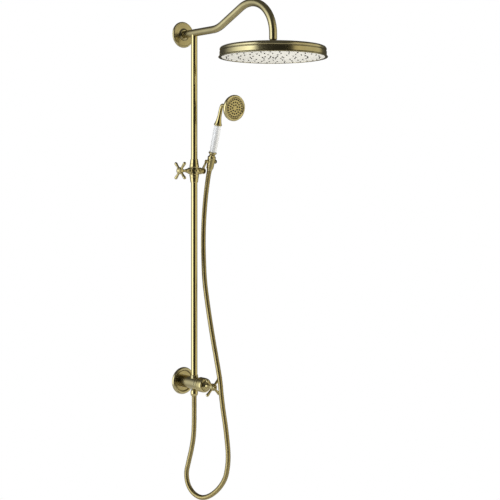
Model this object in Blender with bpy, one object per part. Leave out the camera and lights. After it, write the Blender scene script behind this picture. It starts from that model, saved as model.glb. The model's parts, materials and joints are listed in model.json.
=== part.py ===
"""Rainfall shower column with gooseneck arm, sliding handset holder and hose.

Metres, +Z up. The wall is the plane y = 0 and the column stands off it towards -Y.
The origin is the centre of the lower wall flange, on the wall.
"""

from math import cos, pi, radians, sin, sqrt, tan

import bmesh
import bpy
from mathutils import Matrix, Vector

MM = 0.001

# Driving sizes of the whole column
COLUMN_HEIGHT = 1043 * MM  # valve axis to the arm's level stretch
RISER_OFFSET = 57 * MM  # wall to riser axis
ARM_REACH = 410 * MM  # wall to rain head axis
SLIDER_HEIGHT = 632 * MM  # valve axis to slider axis
HEAD_RADIUS = 150 * MM
HEAD_TOP = -75 * MM  # rain head top, from the arm's level axis
GAP = 0.3 * MM  # clearance between pieces that touch or seat
RUNNING_GAP = 0.6 * MM  # clearance where a piece turns in another

# Sides of a turned piece; pieces on one axis share a count, so that their flats line up
WIDE_SIDES = 32
SIDES = 16
FEW_SIDES = 8
TOOL_TURN = 0.37  # part of a side that a crossing boss or cutter is turned by, so edges don't meet

# Tubes
RISER_RADIUS = 9.5 * MM
RISER_WALL = 1.5 * MM
ARM_RADIUS = 11 * MM
ARM_WALL = 1.5 * MM
ARM_WALL_GAP = 2 * MM  # arm end to wall
ARM_BEND_RADIUS = 100 * MM
ARM_INCLINE = radians(25)
ARCH_RADIUS = 96.5 * MM
ARCH_RISE = 57.3 * MM  # arch apex above the arm's level axis
ARM_END = -54.5 * MM  # arm's open end, from the arm's level axis
GRUB_OUT = 5 * MM  # grub screw beyond the upper flange
GRUB_RADIUS = 1.8 * MM
BOSS_SCREW_RADIUS = 2.2 * MM
BOSS_SCREW_HEAD = 4.4 * MM

# Wall flanges
LOWER_FLANGE_RADIUS = 40.5 * MM
UPPER_FLANGE_RADIUS = 39 * MM
FLANGE_DEPTH = 8 * MM

# Valve
BARREL_RADIUS = 18.25 * MM
BARREL_LENGTH = 84 * MM
BARREL_START = 0.8 * MM
INLET_RADIUS = 8 * MM
CARTRIDGE_RADIUS = 12.6 * MM
CARTRIDGE_SEAT = 32 * MM
PORT_RADIUS = 4 * MM
RISER_BOSS_TOP = 21 * MM
RISER_SEAT = 12.5 * MM
OUTLET_SPIGOT_RADIUS = 6.5 * MM
OUTLET_SPIGOT_LENGTH = 26 * MM
HOSE_BORE = 3.5 * MM  # waterway in the hose's end fittings
BONNET_RADIUS = 21.5 * MM
BONNET_LENGTH = 43 * MM
SPINDLE_RADIUS = 4 * MM
HANDLE_PLANE = 147 * MM  # wall to the cross handle's arms

# Cross handles, both alike
HUB_RADIUS = 10.5 * MM
HUB_FRONT = 8 * MM
HUB_BACK = 6 * MM
ARM_SPAN = 34 * MM
PEG_ROOT = 3.8 * MM
PEG_TIP = 4.7 * MM
CAP_RADIUS = 6.5 * MM
CAP_SEAT = 3 * MM  # floor of the cap's recess, in front of the arms' plane
HANDLE_SCREW_RADIUS = 1.6 * MM
HANDLE_SCREW_HEAD = 3.6 * MM
HANDLE_SCREW_REACH = 9 * MM

# Rain head and its swivel
SWIVEL_BALL = 8.5 * MM
BALL_DROP = 8.5 * MM  # swivel ball's centre above the head's top plate
STEM_RADIUS = 4.5 * MM
STEM_BORE = 2.5 * MM
NUT_THREAD = 12.3 * MM
RIM_INSET = 3.3 * MM  # band inside the lip
BAND_TOP = -12.5 * MM  # from the top plate
LIP = -30.3 * MM  # from the top plate
PLATE_THICKNESS = 2 * MM

# Slider
BUSH_WALL = 1.5 * MM
BUSH_END = 6 * MM  # bush beyond the body, inside each cone
BUSH_SLIT = 1.6 * MM
SLIDER_RADIUS = 14.3 * MM
SLIDER_HALF = 9.5 * MM
CONE_LENGTH = 25 * MM
CROSS_BARREL_RADIUS = 10 * MM
CLAMP_SIDE = 17 * MM
SWIVEL_SIDE = 17 * MM
CLAMP_HANDLE_PLANE = 52 * MM
CLAMP_SCREW_RADIUS = 3.3 * MM
BALL_SIDE = 29 * MM  # riser axis to the swivel ball's centre
BALL_RADIUS = 8.7 * MM
CLAMP_PAD_RADIUS = 3.6 * MM
CLAMP_PAD_LENGTH = 2.6 * MM
BELL_LENGTH = 13.5 * MM
PIVOT_SCREW_RADIUS = 2.9 * MM

# Handset and its holder
HANDSET_TILT = radians(16.8)
HANDSET_SIDE = 44 * MM
HANDSET_OUT = 74 * MM
HANDSET_RISE = 1 * MM  # hose exit above the slider axis
PIVOT_ALONG = 28.2 * MM  # cradle pivot, along the handset's axis from the hose exit
LINK_SIDE = 26 * MM
EYE_RADIUS = 6.3 * MM
EYE_HALF = 3.2 * MM
PIN_RADIUS = 2.5 * MM
BOSS_RADIUS = 5.8 * MM
BOSS_SIDE = 14 * MM
CRADLE_START = 6 * MM
CRADLE_LENGTH = 37.5 * MM
CRADLE_BOTTOM = 10.4 * MM
CRADLE_TOP = 12.0 * MM
CRADLE_WALL = 1.6 * MM
COLLAR_START = 47.5 * MM
GRIP_START = 57.8 * MM
GRIP_LENGTH = 81.4 * MM
GRIP_RADIUS = 10 * MM
CORE_RADIUS = 5 * MM
CORE_WALL = 1.2 * MM
CORE_IN_COLLAR = 10 * MM  # depth of the collar's thread, below and above it
CORE_IN_NECK = 9 * MM
FERRULE_RADIUS = 12 * MM
NECK_RADIUS = 5.3 * MM
NECK_BORE = 3.6 * MM
SPRAY_RADIUS = 38.3 * MM
SPRAY_DEPTH = 24 * MM
SPRAY_TILT = radians(81.2)  # spray axis to grip axis
NECK_FORWARD = 40.8 * MM  # grip axis to the neck's end
NECK_RISE = 64.7 * MM  # grip's end to the neck's end, along the grip axis

# Hose
HOSE_RADIUS = 7.25 * MM
HOSE_SPACING = 27 * MM
OUTLET_NUT_RADIUS = 11 * MM
OUTLET_NUT_TOP = 18.6 * MM
OUTLET_NUT_END = 39 * MM

# The hose's own route, millimetres: right, out from the wall, up
HOSE_ROUTE = [
    (44, 69.2, 617), (43.8, 62, 584), (43, 56, 545), (40, 52.5, 483), (36.5, 54.5, 422),
    (32, 62, 362), (26.2, 74.5, 302), (21, 93, 243), (16.2, 113.5, 184), (12.2, 134, 127),
    (9.5, 151.5, 79), (8, 168.5, 23), (8, 175.5, -21), (10.5, 181, -65), (13.7, 187.5, -110),
    (16.2, 192.5, -155), (17.4, 195, -190), (17.6, 192.5, -224), (16.8, 181.5, -262),
    (12.6, 157.2, -296), (6.5, 123, -323), (0.5, 89.5, -334), (-5, 59, -326), (-8.3, 38, -304),
    (-8.2, 30, -272), (-5.8, 38, -235), (-3.4, 48, -198), (-1.4, 55, -160), (-0.4, 57, -120), (0, 57, -78),
    (0, 57, -55),
]

MATERIALS = {
    "aged_brass": ((0.36, 0.29, 0.12, 1), 1.0, 0.3),
    "polished_brass": ((0.50, 0.42, 0.18, 1), 1.0, 0.15),
    "plain_brass": ((0.55, 0.42, 0.16, 1), 1.0, 0.4),
    "steel": ((0.50, 0.50, 0.50, 1), 1.0, 0.3),
    "porcelain": ((0.86, 0.86, 0.85, 1), 0.0, 0.1),
    "cream_plate": ((0.78, 0.75, 0.66, 1), 0.0, 0.35),
    "silicone": ((0.30, 0.30, 0.28, 1), 0.0, 0.6),
    "rubber": ((0.03, 0.03, 0.03, 1), 0.0, 0.7),
    "nylon": ((0.75, 0.74, 0.70, 1), 0.0, 0.5),
    "ceramic": ((0.80, 0.78, 0.72, 1), 0.0, 0.2),
}

TO_FRONT = (pi / 2, 0, 0)  # local +Z towards -Y
TO_RIGHT = (0, pi / 2, 0)  # local +Z towards +X
TO_LEFT = (0, -pi / 2, 0)  # local +Z towards -X


def clear_scene():
    for obj in list(bpy.data.objects):
        bpy.data.objects.remove(obj, do_unlink=True)


def material_for(node, finish):
    """Each object has its own Principled material in the given finish."""
    color, metallic, roughness = MATERIALS[finish]
    material = bpy.data.materials.new(f"{node}_{finish}")
    material.use_nodes = True
    shader = material.node_tree.nodes["Principled BSDF"]
    shader.inputs["Base Color"].default_value = color
    shader.inputs["Metallic"].default_value = metallic
    shader.inputs["Roughness"].default_value = roughness
    return material


def add_object(name, bm, finish, location=(0, 0, 0), rotation=(0, 0, 0), parent=None):
    bmesh.ops.remove_doubles(bm, verts=bm.verts, dist=1e-7)
    bmesh.ops.recalc_face_normals(bm, faces=bm.faces)
    mesh = bpy.data.meshes.new(name)
    bm.to_mesh(mesh)
    bm.free()
    mesh.materials.append(material_for(name, finish))
    mesh.shade_smooth()
    mesh.set_sharp_from_angle(angle=radians(35))
    obj = bpy.data.objects.new(name, mesh)
    bpy.context.scene.collection.objects.link(obj)
    obj.parent = parent
    obj.location = location
    obj.rotation_euler = rotation
    return obj


def add_empty(name, location, rotation=(0, 0, 0), parent=None):
    empty = bpy.data.objects.new(name, None)
    bpy.context.scene.collection.objects.link(empty)
    empty.parent = parent
    empty.location = location
    empty.rotation_euler = rotation
    return empty


def lathe(profile, sides, turn=0.0):
    """Turns (radius, height) points about Z. A profile off the axis is closed into a ring."""
    bm = bmesh.new()
    points = list(profile)
    on_axis = points[0][0] == 0 and points[-1][0] == 0
    if not on_axis:
        points.append(points[0])
    across = Vector((cos(turn), sin(turn), 0))
    verts = [bm.verts.new(across * radius + Vector((0, 0, height))) for radius, height in points]
    edges = [bm.edges.new(pair) for pair in zip(verts, verts[1:])]
    bmesh.ops.spin(
        bm, geom=verts + edges, cent=(0, 0, 0), axis=(0, 0, 1), angle=2 * pi, steps=sides
    )
    bmesh.ops.remove_doubles(bm, verts=bm.verts, dist=1e-7)
    return bm


def turned(name, finish, profile, sides, location=(0, 0, 0), rotation=(0, 0, 0), parent=None):
    return add_object(name, lathe(profile, sides), finish, location, rotation, parent)


def ring(inner, outer, start, end):
    return [(inner, start), (outer, start), (outer, end), (inner, end)]


def solid(radius, start, end):
    return [(0, start), (radius, start), (radius, end), (0, end)]


def block(name, finish, size, location):
    bm = bmesh.new()
    bmesh.ops.create_cube(bm, size=1, matrix=Matrix.Diagonal((*size, 1)))
    return add_object(name, bm, finish, location)


def side_tool(name, profile, sides, location, rotation=(0, 0, 0), parent=None):
    """A boss or cutter whose axis crosses its target's."""
    bm = lathe(profile, sides, TOOL_TURN * 2 * pi / sides)
    return add_object(name, bm, "aged_brass", location, rotation, parent)


def as_tool(obj):
    obj.hide_render = True
    obj.display_type = "WIRE"
    return obj


def combine(target, tool, operation):
    modifier = target.modifiers.new(operation.lower(), "BOOLEAN")
    modifier.operation = operation
    modifier.object = as_tool(tool)


def swept(path, radii, sides, across=Vector((1, 0, 0))):
    """A closed tube along a path that lies in one plane, with the radius given at each point."""
    bm = bmesh.new()
    loops = []
    for i, point in enumerate(path):
        ahead = path[min(i + 1, len(path) - 1)] - path[max(i - 1, 0)]
        normal = across.cross(ahead.normalized())
        verts = []
        for k in range(sides):
            turn = 2 * pi * k / sides
            offset = across * cos(turn) + normal * sin(turn)
            verts.append(bm.verts.new(point + offset * radii[i]))
        loops.append(verts)
    for first, second in zip(loops, loops[1:]):
        for k in range(sides):
            j = (k + 1) % sides
            bm.faces.new((first[k], first[j], second[j], second[k]))
    return bm, loops


def hollow_tube(path, outer, inner, sides):
    """Outer and inner skins along one path, joined by a ring at each end."""
    bm, skin = swept(path, outer, sides)
    bore, lining = swept(path, inner, sides)
    offset = len(bm.verts)
    for vert in bore.verts:
        bm.verts.new(vert.co)
    bm.verts.ensure_lookup_table()
    bore.verts.index_update()
    for face in bore.faces:
        bm.faces.new([bm.verts[offset + v.index] for v in reversed(face.verts)])
    for end in (0, -1):
        for k in range(sides):
            j = (k + 1) % sides
            inner_k = bm.verts[offset + lining[end][k].index]
            inner_j = bm.verts[offset + lining[end][j].index]
            bm.faces.new((skin[end][k], skin[end][j], inner_j, inner_k))
    bore.free()
    return bm


def arc(center, radius, start, end, steps):
    """Points in the Y-Z plane, angles measured from the outward direction (-Y) towards +Z."""
    points = []
    for i in range(steps + 1):
        turn = start + (end - start) * i / steps
        points.append(
            Vector((0, -center[0] - radius * cos(turn), center[1] + radius * sin(turn)))
        )
    return points


# ---------------------------------------------------------------- wall flanges and valve


def make_lower_flange():
    """Rounded outer bead with a recessed floor round the valve barrel."""
    bore = BARREL_RADIUS + GAP
    rim = LOWER_FLANGE_RADIUS
    profile = [
        (bore, 0), (rim, 0), (rim, 0.35 * FLANGE_DEPTH), (rim - 1.6 * MM, 0.8 * FLANGE_DEPTH),
        (rim - 4.5 * MM, FLANGE_DEPTH), (rim - 8 * MM, 0.85 * FLANGE_DEPTH),
        (rim - 10.5 * MM, 0.5 * FLANGE_DEPTH), (bore, 0.45 * FLANGE_DEPTH),
    ]
    turned("lower_wall_flange", "aged_brass", profile, WIDE_SIDES, rotation=TO_FRONT)


def make_upper_flange():
    """Thin stepped disc with a shallow cone up to the arm."""
    bore = ARM_RADIUS + GAP
    rim = UPPER_FLANGE_RADIUS
    profile = [
        (bore, 0), (rim, 0), (rim, 0.3 * FLANGE_DEPTH), (rim - 1.4 * MM, 0.6 * FLANGE_DEPTH),
        (rim - 4 * MM, 0.72 * FLANGE_DEPTH), (bore + 7 * MM, FLANGE_DEPTH),
        (bore + 2 * MM, 1.3 * FLANGE_DEPTH), (bore, 1.3 * FLANGE_DEPTH),
    ]
    turned(
        "upper_wall_flange", "aged_brass", profile, WIDE_SIDES,
        location=(0, 0, COLUMN_HEIGHT), rotation=TO_FRONT,
    )


def make_valve_body():
    """Horizontal barrel with a bored front, a boss for the riser and a spigot for the hose."""
    profile = [
        (INLET_RADIUS, BARREL_START), (BARREL_RADIUS, BARREL_START), (BARREL_RADIUS, BARREL_LENGTH),
        (CARTRIDGE_RADIUS + GAP, BARREL_LENGTH), (CARTRIDGE_RADIUS + GAP, CARTRIDGE_SEAT - 2 * MM),
        (INLET_RADIUS, CARTRIDGE_SEAT - 2 * MM),
    ]
    body = turned("valve_body", "aged_brass", profile, SIDES, rotation=TO_FRONT)
    boss_radius = RISER_RADIUS + GAP + 1.7 * MM
    wall = BARREL_RADIUS - 2.5 * MM
    bosses = (
        ("riser_boss", solid(boss_radius, wall, RISER_BOSS_TOP)),
        ("outlet_spigot", solid(OUTLET_SPIGOT_RADIUS, -OUTLET_SPIGOT_LENGTH, -wall)),
    )
    for name, shape in bosses:
        combine(body, side_tool(name, shape, SIDES, (0, -RISER_OFFSET, 0)), "UNION")
    above = RISER_BOSS_TOP + 5 * MM
    socket = [
        (0, 0), (PORT_RADIUS, 0), (PORT_RADIUS, RISER_SEAT + 2 * MM),
        (RISER_RADIUS + GAP, RISER_SEAT + 2 * MM), (RISER_RADIUS + GAP, above), (0, above),
    ]
    tool = turned("riser_socket", "aged_brass", socket, SIDES, location=(0, -RISER_OFFSET, 0))
    combine(body, tool, "DIFFERENCE")
    outlet = solid(PORT_RADIUS, -OUTLET_SPIGOT_LENGTH - 5 * MM, -1 * MM)
    tool = side_tool("outlet_port", outlet, SIDES, (0, -RISER_OFFSET, 0))
    combine(body, tool, "DIFFERENCE")


def make_valve_internals():
    seat = CARTRIDGE_SEAT
    turned(
        "cartridge_seal", "rubber",
        ring(INLET_RADIUS + GAP, CARTRIDGE_RADIUS - GAP, seat - 2 * MM + GAP, seat), FEW_SIDES,
        rotation=TO_FRONT,
    )
    nose = CARTRIDGE_RADIUS - 3 * MM
    front = BARREL_LENGTH + 4 * MM
    bore = SPINDLE_RADIUS + GAP
    cartridge = [
        (0, seat + GAP), (CARTRIDGE_RADIUS, seat + GAP), (CARTRIDGE_RADIUS, BARREL_LENGTH - 10 * MM),
        (nose, BARREL_LENGTH - 10 * MM), (nose, front), (bore, front),
        (bore, seat + 28 * MM), (0, seat + 28 * MM),
    ]
    turned("diverter_cartridge", "ceramic", cartridge, FEW_SIDES, rotation=TO_FRONT)
    tail = HANDLE_PLANE - 1.5 * MM
    hole = HANDLE_SCREW_RADIUS + GAP
    floor = tail - HANDLE_SCREW_REACH - 1 * MM
    spindle = [
        (0, seat + 28.5 * MM), (SPINDLE_RADIUS, seat + 28.5 * MM), (SPINDLE_RADIUS, tail),
        (hole, tail), (hole, floor), (0, floor),
    ]
    turned("valve_spindle", "plain_brass", spindle, FEW_SIDES, rotation=TO_FRONT)


def make_bonnet():
    """Nut with a rounded shoulder and a hollow front, which closes the barrel and guides the spindle."""
    start = BARREL_LENGTH + RUNNING_GAP
    end = start + BONNET_LENGTH
    outside = BONNET_RADIUS
    bore = SPINDLE_RADIUS + RUNNING_GAP
    profile = [
        (outside - 1.6 * MM, start), (outside, start + 1.6 * MM), (outside, end - 22 * MM),
        (outside - 0.9 * MM, end - 16.5 * MM), (outside - 3.3 * MM, end - 13.8 * MM),
        (outside - 6 * MM, end - 14 * MM), (outside - 9.5 * MM, end - 10.5 * MM),
        (outside - 12.8 * MM, end - 6 * MM), (6.5 * MM, end), (bore, end), (bore, end - 8 * MM),
        (CARTRIDGE_RADIUS - 1 * MM, end - 16 * MM), (CARTRIDGE_RADIUS - 1 * MM, start),
    ]
    turned("valve_bonnet", "aged_brass", profile, SIDES, rotation=TO_FRONT)


def make_cross_handle(name, neck_radius, neck_length, bore, location, rotation):
    """Hub with a slim neck and four rounded arms; local Z is the handle's axis, 0 the arms' plane."""
    hub = HUB_RADIUS
    profile = [
        (0, -neck_length), (neck_radius, -neck_length), (neck_radius, -HUB_BACK - 2 * MM),
        (hub - 1.5 * MM, -HUB_BACK + 1 * MM), (hub, -HUB_BACK + 3 * MM), (hub, HUB_FRONT - 3 * MM),
        (hub - 1.5 * MM, HUB_FRONT), (0, HUB_FRONT),
    ]
    handle = turned(name, "aged_brass", profile, SIDES, location, rotation)
    tip = ARM_SPAN
    end = 0.7 * PEG_TIP
    bar = [
        (0, -tip), (end, -tip + 0.8 * MM), (PEG_TIP, -tip + 3 * MM), (PEG_ROOT, -hub + 1 * MM),
        (PEG_ROOT, hub - 1 * MM), (PEG_TIP, tip - 3 * MM), (end, tip - 0.8 * MM), (0, tip),
    ]
    place = Matrix.Translation(Vector(location)) @ handle.rotation_euler.to_matrix().to_4x4()
    along = Matrix.Rotation(pi / 2, 4, "X")
    for number, turn in enumerate((pi / 4, -pi / 4)):
        tool = side_tool(f"{name}_bar_{number + 1}", bar, FEW_SIDES, (0, 0, 0))
        tool.matrix_world = place @ Matrix.Rotation(turn, 4, "Z") @ along
        combine(handle, tool, "UNION")
    hole = HANDLE_SCREW_RADIUS + GAP
    recess = CAP_RADIUS + GAP
    behind = -neck_length - 1 * MM
    front = HUB_FRONT + 2 * MM
    bores = [
        (0, behind), (bore, behind), (bore, -1 * MM), (hole, -1 * MM), (hole, CAP_SEAT),
        (recess, CAP_SEAT), (recess, front), (0, front),
    ]
    drill = turned(f"{name}_bore", "aged_brass", bores, SIDES, location, rotation)
    combine(handle, drill, "DIFFERENCE")
    return handle


def make_handle_fastening(prefix, location, rotation):
    """The retaining screw and the button that hides it."""
    seat = CAP_SEAT + GAP
    top = CAP_SEAT + 2.4 * MM
    screw = [
        (0, -HANDLE_SCREW_REACH), (HANDLE_SCREW_RADIUS, -HANDLE_SCREW_REACH),
        (HANDLE_SCREW_RADIUS, seat), (HANDLE_SCREW_HEAD, seat), (HANDLE_SCREW_HEAD, top), (0, top),
    ]
    turned(f"{prefix}_screw", "steel", screw, FEW_SIDES, location, rotation)
    cap = [
        (0, top + GAP), (CAP_RADIUS, top + GAP), (CAP_RADIUS, HUB_FRONT + 0.6 * MM),
        (0.75 * CAP_RADIUS, HUB_FRONT + 2.6 * MM), (0, HUB_FRONT + 3.4 * MM),
    ]
    turned(f"{prefix}_cap", "aged_brass", cap, SIDES, location, rotation)


def make_valve_handle():
    place = (0, -HANDLE_PLANE, 0)
    neck_start = BARREL_LENGTH + RUNNING_GAP + BONNET_LENGTH + RUNNING_GAP
    neck = HANDLE_PLANE - neck_start
    bore = SPINDLE_RADIUS + GAP
    make_cross_handle("valve_cross_handle", 6.2 * MM, neck, bore, place, TO_FRONT)
    make_handle_fastening("valve_handle", place, TO_FRONT)


# ---------------------------------------------------------------- riser, arm and wall fixing


def arm_path():
    """Level from the wall, a soft bend up, an incline, then the arch and the drop."""
    level = COLUMN_HEIGHT
    arch_out = ARM_REACH - ARCH_RADIUS
    arch_up = level + ARCH_RISE - ARCH_RADIUS
    top_out = arch_out - ARCH_RADIUS * sin(ARM_INCLINE)
    top_up = arch_up + ARCH_RADIUS * cos(ARM_INCLINE)
    corner = top_out - (top_up - level) / tan(ARM_INCLINE)
    tangent = ARM_BEND_RADIUS * tan(ARM_INCLINE / 2)
    start_out = corner - tangent
    path = [Vector((0, -ARM_WALL_GAP, level)), Vector((0, -RISER_OFFSET, level))]
    bend = (start_out, level + ARM_BEND_RADIUS)
    path += arc(bend, ARM_BEND_RADIUS, -pi / 2, -pi / 2 + ARM_INCLINE, 3)
    path += arc((arch_out, arch_up), ARCH_RADIUS, pi / 2 + ARM_INCLINE, 0, 11)
    path.append(Vector((0, -ARM_REACH, level + ARM_END)))
    return path


def make_arm():
    path = arm_path()
    count = len(path)
    bm = hollow_tube(path, [ARM_RADIUS] * count, [ARM_RADIUS - ARM_WALL] * count, SIDES)
    arm = add_object("shower_arm", bm, "aged_brass")
    port = solid(RISER_RADIUS - RISER_WALL, -ARM_RADIUS - 3 * MM, 0)
    tool = side_tool("arm_port", port, FEW_SIDES, (0, -RISER_OFFSET, COLUMN_HEIGHT))
    combine(arm, tool, "DIFFERENCE")
    hole = solid(GRUB_RADIUS + 2 * GAP, -ARM_RADIUS - 3 * MM, 0)
    place = (0, -FLANGE_DEPTH * 1.3 - GRUB_OUT, COLUMN_HEIGHT)
    combine(arm, side_tool("grub_hole", hole, FEW_SIDES, place), "DIFFERENCE")
    grub = solid(GRUB_RADIUS, -ARM_RADIUS - 0.4 * MM, -ARM_RADIUS + ARM_WALL + 0.1 * MM)
    turned("arm_grub_screw", "steel", grub, FEW_SIDES, location=place)


def make_arm_fixing():
    """A boss on the wall carries the arm's end, held by its own screw."""
    boss_radius = ARM_RADIUS - ARM_WALL - GAP
    end = FLANGE_DEPTH * 1.3 + 2 * GRUB_OUT
    seat = end - 5 * MM
    hole = BOSS_SCREW_RADIUS + GAP
    sink = BOSS_SCREW_HEAD + 2 * GAP
    boss = [
        (hole, GAP), (boss_radius, GAP), (boss_radius, end), (sink, end), (sink, seat), (hole, seat),
    ]
    place = (0, 0, COLUMN_HEIGHT)
    turned("arm_wall_boss", "plain_brass", boss, FEW_SIDES, location=place, rotation=TO_FRONT)
    screw = [
        (0, 2 * GAP), (BOSS_SCREW_RADIUS, 2 * GAP), (BOSS_SCREW_RADIUS, seat + GAP),
        (BOSS_SCREW_HEAD, seat + GAP), (BOSS_SCREW_HEAD, end - 1 * MM), (0, end - 1 * MM),
    ]
    turned("arm_wall_screw", "steel", screw, FEW_SIDES, location=place, rotation=TO_FRONT)


def make_riser():
    """Tube from the valve's socket to a saddle under the arm."""
    start = RISER_SEAT + 4 * MM
    bm = lathe(ring(RISER_RADIUS - RISER_WALL, RISER_RADIUS, start, COLUMN_HEIGHT), SIDES)
    riser = add_object("riser_pipe", bm, "aged_brass", location=(0, -RISER_OFFSET, 0))
    saddle = side_tool(
        "riser_saddle", solid(ARM_RADIUS + GAP, -4 * RISER_RADIUS, 4 * RISER_RADIUS), WIDE_SIDES,
        (0, -RISER_OFFSET, COLUMN_HEIGHT), TO_FRONT,
    )
    combine(riser, saddle, "DIFFERENCE")
    seal = ring(RISER_RADIUS - RISER_WALL, RISER_RADIUS - GAP, RISER_SEAT + 2.3 * MM, start - GAP)
    turned("riser_seal", "rubber", seal, FEW_SIDES, location=(0, -RISER_OFFSET, 0))
    bore = RISER_RADIUS + GAP
    outer = RISER_RADIUS + 2 * MM
    base = RISER_BOSS_TOP
    collar = [
        (bore, base + GAP), (outer, base + GAP), (outer, base + 2 * MM),
        (outer - 1 * MM, base + 4 * MM), (bore, base + 4 * MM),
    ]
    turned("riser_collar", "aged_brass", collar, SIDES, location=(0, -RISER_OFFSET, 0))


# ---------------------------------------------------------------- rain head


def make_head_swivel():
    place = (0, -ARM_REACH, COLUMN_HEIGHT + HEAD_TOP)
    arm_end = ARM_END - HEAD_TOP
    plug = ARM_RADIUS - ARM_WALL - GAP
    neck = STEM_RADIUS
    angles = (0.45, 0.9, 1.35, 1.8, 2.25)
    ball = [(SWIVEL_BALL * sin(a), BALL_DROP - SWIVEL_BALL * cos(a)) for a in angles]
    neck_height = BALL_DROP + sqrt(SWIVEL_BALL**2 - neck**2)
    profile = [(STEM_BORE, BALL_DROP - SWIVEL_BALL * cos(0.3))] + ball
    profile += [
        (neck, neck_height), (neck, arm_end - 1.5 * MM), (ARM_RADIUS, arm_end - 1.5 * MM),
        (ARM_RADIUS, arm_end - GAP), (plug, arm_end - GAP), (plug, arm_end + 14 * MM),
        (STEM_BORE, arm_end + 14 * MM),
    ]
    turned("head_ball_stem", "aged_brass", profile, SIDES, location=place)
    seat = [
        (4.2 * MM, -3.7 * MM), (9.7 * MM, -3.7 * MM), (9.7 * MM, 3.2 * MM), (7.6 * MM, 3.2 * MM),
        (4.2 * MM, -0.1 * MM),
    ]
    turned("head_swivel_seat", "nylon", seat, FEW_SIDES, location=place)
    clear = SWIVEL_BALL + 0.45 * MM
    inside = [(clear * sin(a), BALL_DROP + clear * cos(a)) for a in (1.5, 1.15, 0.82)]
    nut = [
        (NUT_THREAD, GAP), (14.2 * MM, GAP), (14.4 * MM, 3 * MM), (13.6 * MM, 9 * MM),
        (11 * MM, 14.5 * MM), (9.4 * MM, 17.3 * MM), (8.2 * MM, 17.3 * MM),
    ]
    nut += list(reversed(inside))
    nut += [(9.3 * MM, 7.6 * MM), (NUT_THREAD, 7.6 * MM)]
    turned("head_swivel_nut", "aged_brass", nut, SIDES, location=place)


def make_rain_head():
    """Beaded top shell, lower band with a flared lip, face plate and nozzle mat."""
    place = (0, -ARM_REACH, COLUMN_HEIGHT + HEAD_TOP)
    edge = HEAD_RADIUS - RIM_INSET
    thread = NUT_THREAD - GAP
    shell = [
        (4 * MM, -6 * MM), (4 * MM, -4 * MM), (10 * MM, -4 * MM), (10 * MM, 7.2 * MM),
        (thread, 7.2 * MM), (thread, 0), (edge - 8 * MM, -0.8 * MM), (edge - 3.2 * MM, -2.4 * MM),
        (edge - 0.6 * MM, -6 * MM), (edge - 0.2 * MM, -9 * MM), (edge - 1.8 * MM, -12.2 * MM),
        (edge - 3.6 * MM, -12.2 * MM), (edge - 3.4 * MM, -7 * MM), (edge - 9 * MM, -2.6 * MM),
        (14 * MM, -2 * MM), (14 * MM, -6 * MM),
    ]
    turned("head_top_shell", "aged_brass", shell, WIDE_SIDES, location=place)
    step = edge - 1.6 * MM
    inner = edge - 4 * MM
    band = [
        (inner - 1 * MM, BAND_TOP), (step, BAND_TOP), (step, BAND_TOP - 1.3 * MM),
        (edge, BAND_TOP - 2 * MM), (edge, LIP + 3.2 * MM), (HEAD_RADIUS, LIP + 1.8 * MM),
        (HEAD_RADIUS, LIP + 0.4 * MM), (HEAD_RADIUS - 0.8 * MM, LIP), (inner, LIP),
    ]
    turned("head_rim_band", "aged_brass", band, WIDE_SIDES, location=place)
    plate_bottom = LIP + 1 * MM
    plate = solid(inner - 1 * MM - GAP, plate_bottom, plate_bottom + PLATE_THICKNESS)
    turned("head_face_plate", "cream_plate", plate, WIDE_SIDES, location=place)
    mat_bottom = plate_bottom + PLATE_THICKNESS + GAP
    mat = solid(inner - 3 * MM - GAP, mat_bottom, mat_bottom + PLATE_THICKNESS)
    turned("head_nozzle_mat", "silicone", mat, WIDE_SIDES, location=place)


# ---------------------------------------------------------------- slider


def make_slider(place):
    bush_inner = RISER_RADIUS + GAP
    bush_outer = bush_inner + BUSH_WALL
    body_bore = bush_outer + GAP
    bush_half = SLIDER_HALF + BUSH_END
    sleeve = ring(bush_inner, bush_outer, -bush_half, bush_half)
    bush = turned("slider_bush", "nylon", sleeve, SIDES, location=place)
    slit = (BUSH_WALL + 4 * GAP, BUSH_SLIT, 2 * bush_half + 2 * MM)
    middle = (place[0] + bush_inner + BUSH_WALL / 2, place[1], place[2])
    split = block("bush_split", "nylon", slit, middle)
    combine(bush, split, "DIFFERENCE")
    barrel = solid(SLIDER_RADIUS, -SLIDER_HALF, SLIDER_HALF)
    body = turned("slider_body", "aged_brass", barrel, SIDES, place)
    cross = solid(CROSS_BARREL_RADIUS - 1.2 * MM, -CLAMP_SIDE, SWIVEL_SIDE)
    combine(body, side_tool("cross_barrel", cross, SIDES, place, TO_RIGHT), "UNION")
    front = [(0, 0), (7.5 * MM, 0), (7.5 * MM, 15.5 * MM), (5 * MM, 17.5 * MM), (0, 18 * MM)]
    combine(body, side_tool("front_boss", front, SIDES, place, TO_FRONT), "UNION")
    bore = turned("slider_bore", "aged_brass", solid(body_bore, -40 * MM, 40 * MM), SIDES, place)
    combine(body, bore, "DIFFERENCE")
    drill = solid(CLAMP_PAD_RADIUS + 2 * GAP, 2 * MM, 40 * MM)
    combine(body, side_tool("clamp_bore", drill, FEW_SIDES, place, TO_LEFT), "DIFFERENCE")
    for name, way in (("slider_upper_cone", 1), ("slider_lower_cone", -1)):
        start = SLIDER_HALF + GAP
        end = start + CONE_LENGTH
        shape = [
            (body_bore, start), (SLIDER_RADIUS - 0.6 * MM, start), (SLIDER_RADIUS, start + 1.5 * MM),
            (SLIDER_RADIUS - 0.2 * MM, start + 5 * MM), (RISER_RADIUS + 2.2 * MM, end - 4 * MM),
            (RISER_RADIUS + 1.5 * MM, end), (bush_inner, end), (bush_inner, start + BUSH_END + GAP),
            (body_bore, start + BUSH_END + GAP),
        ]
        turned(name, "aged_brass", [(r, way * h) for r, h in shape], SIDES, place)


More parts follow.
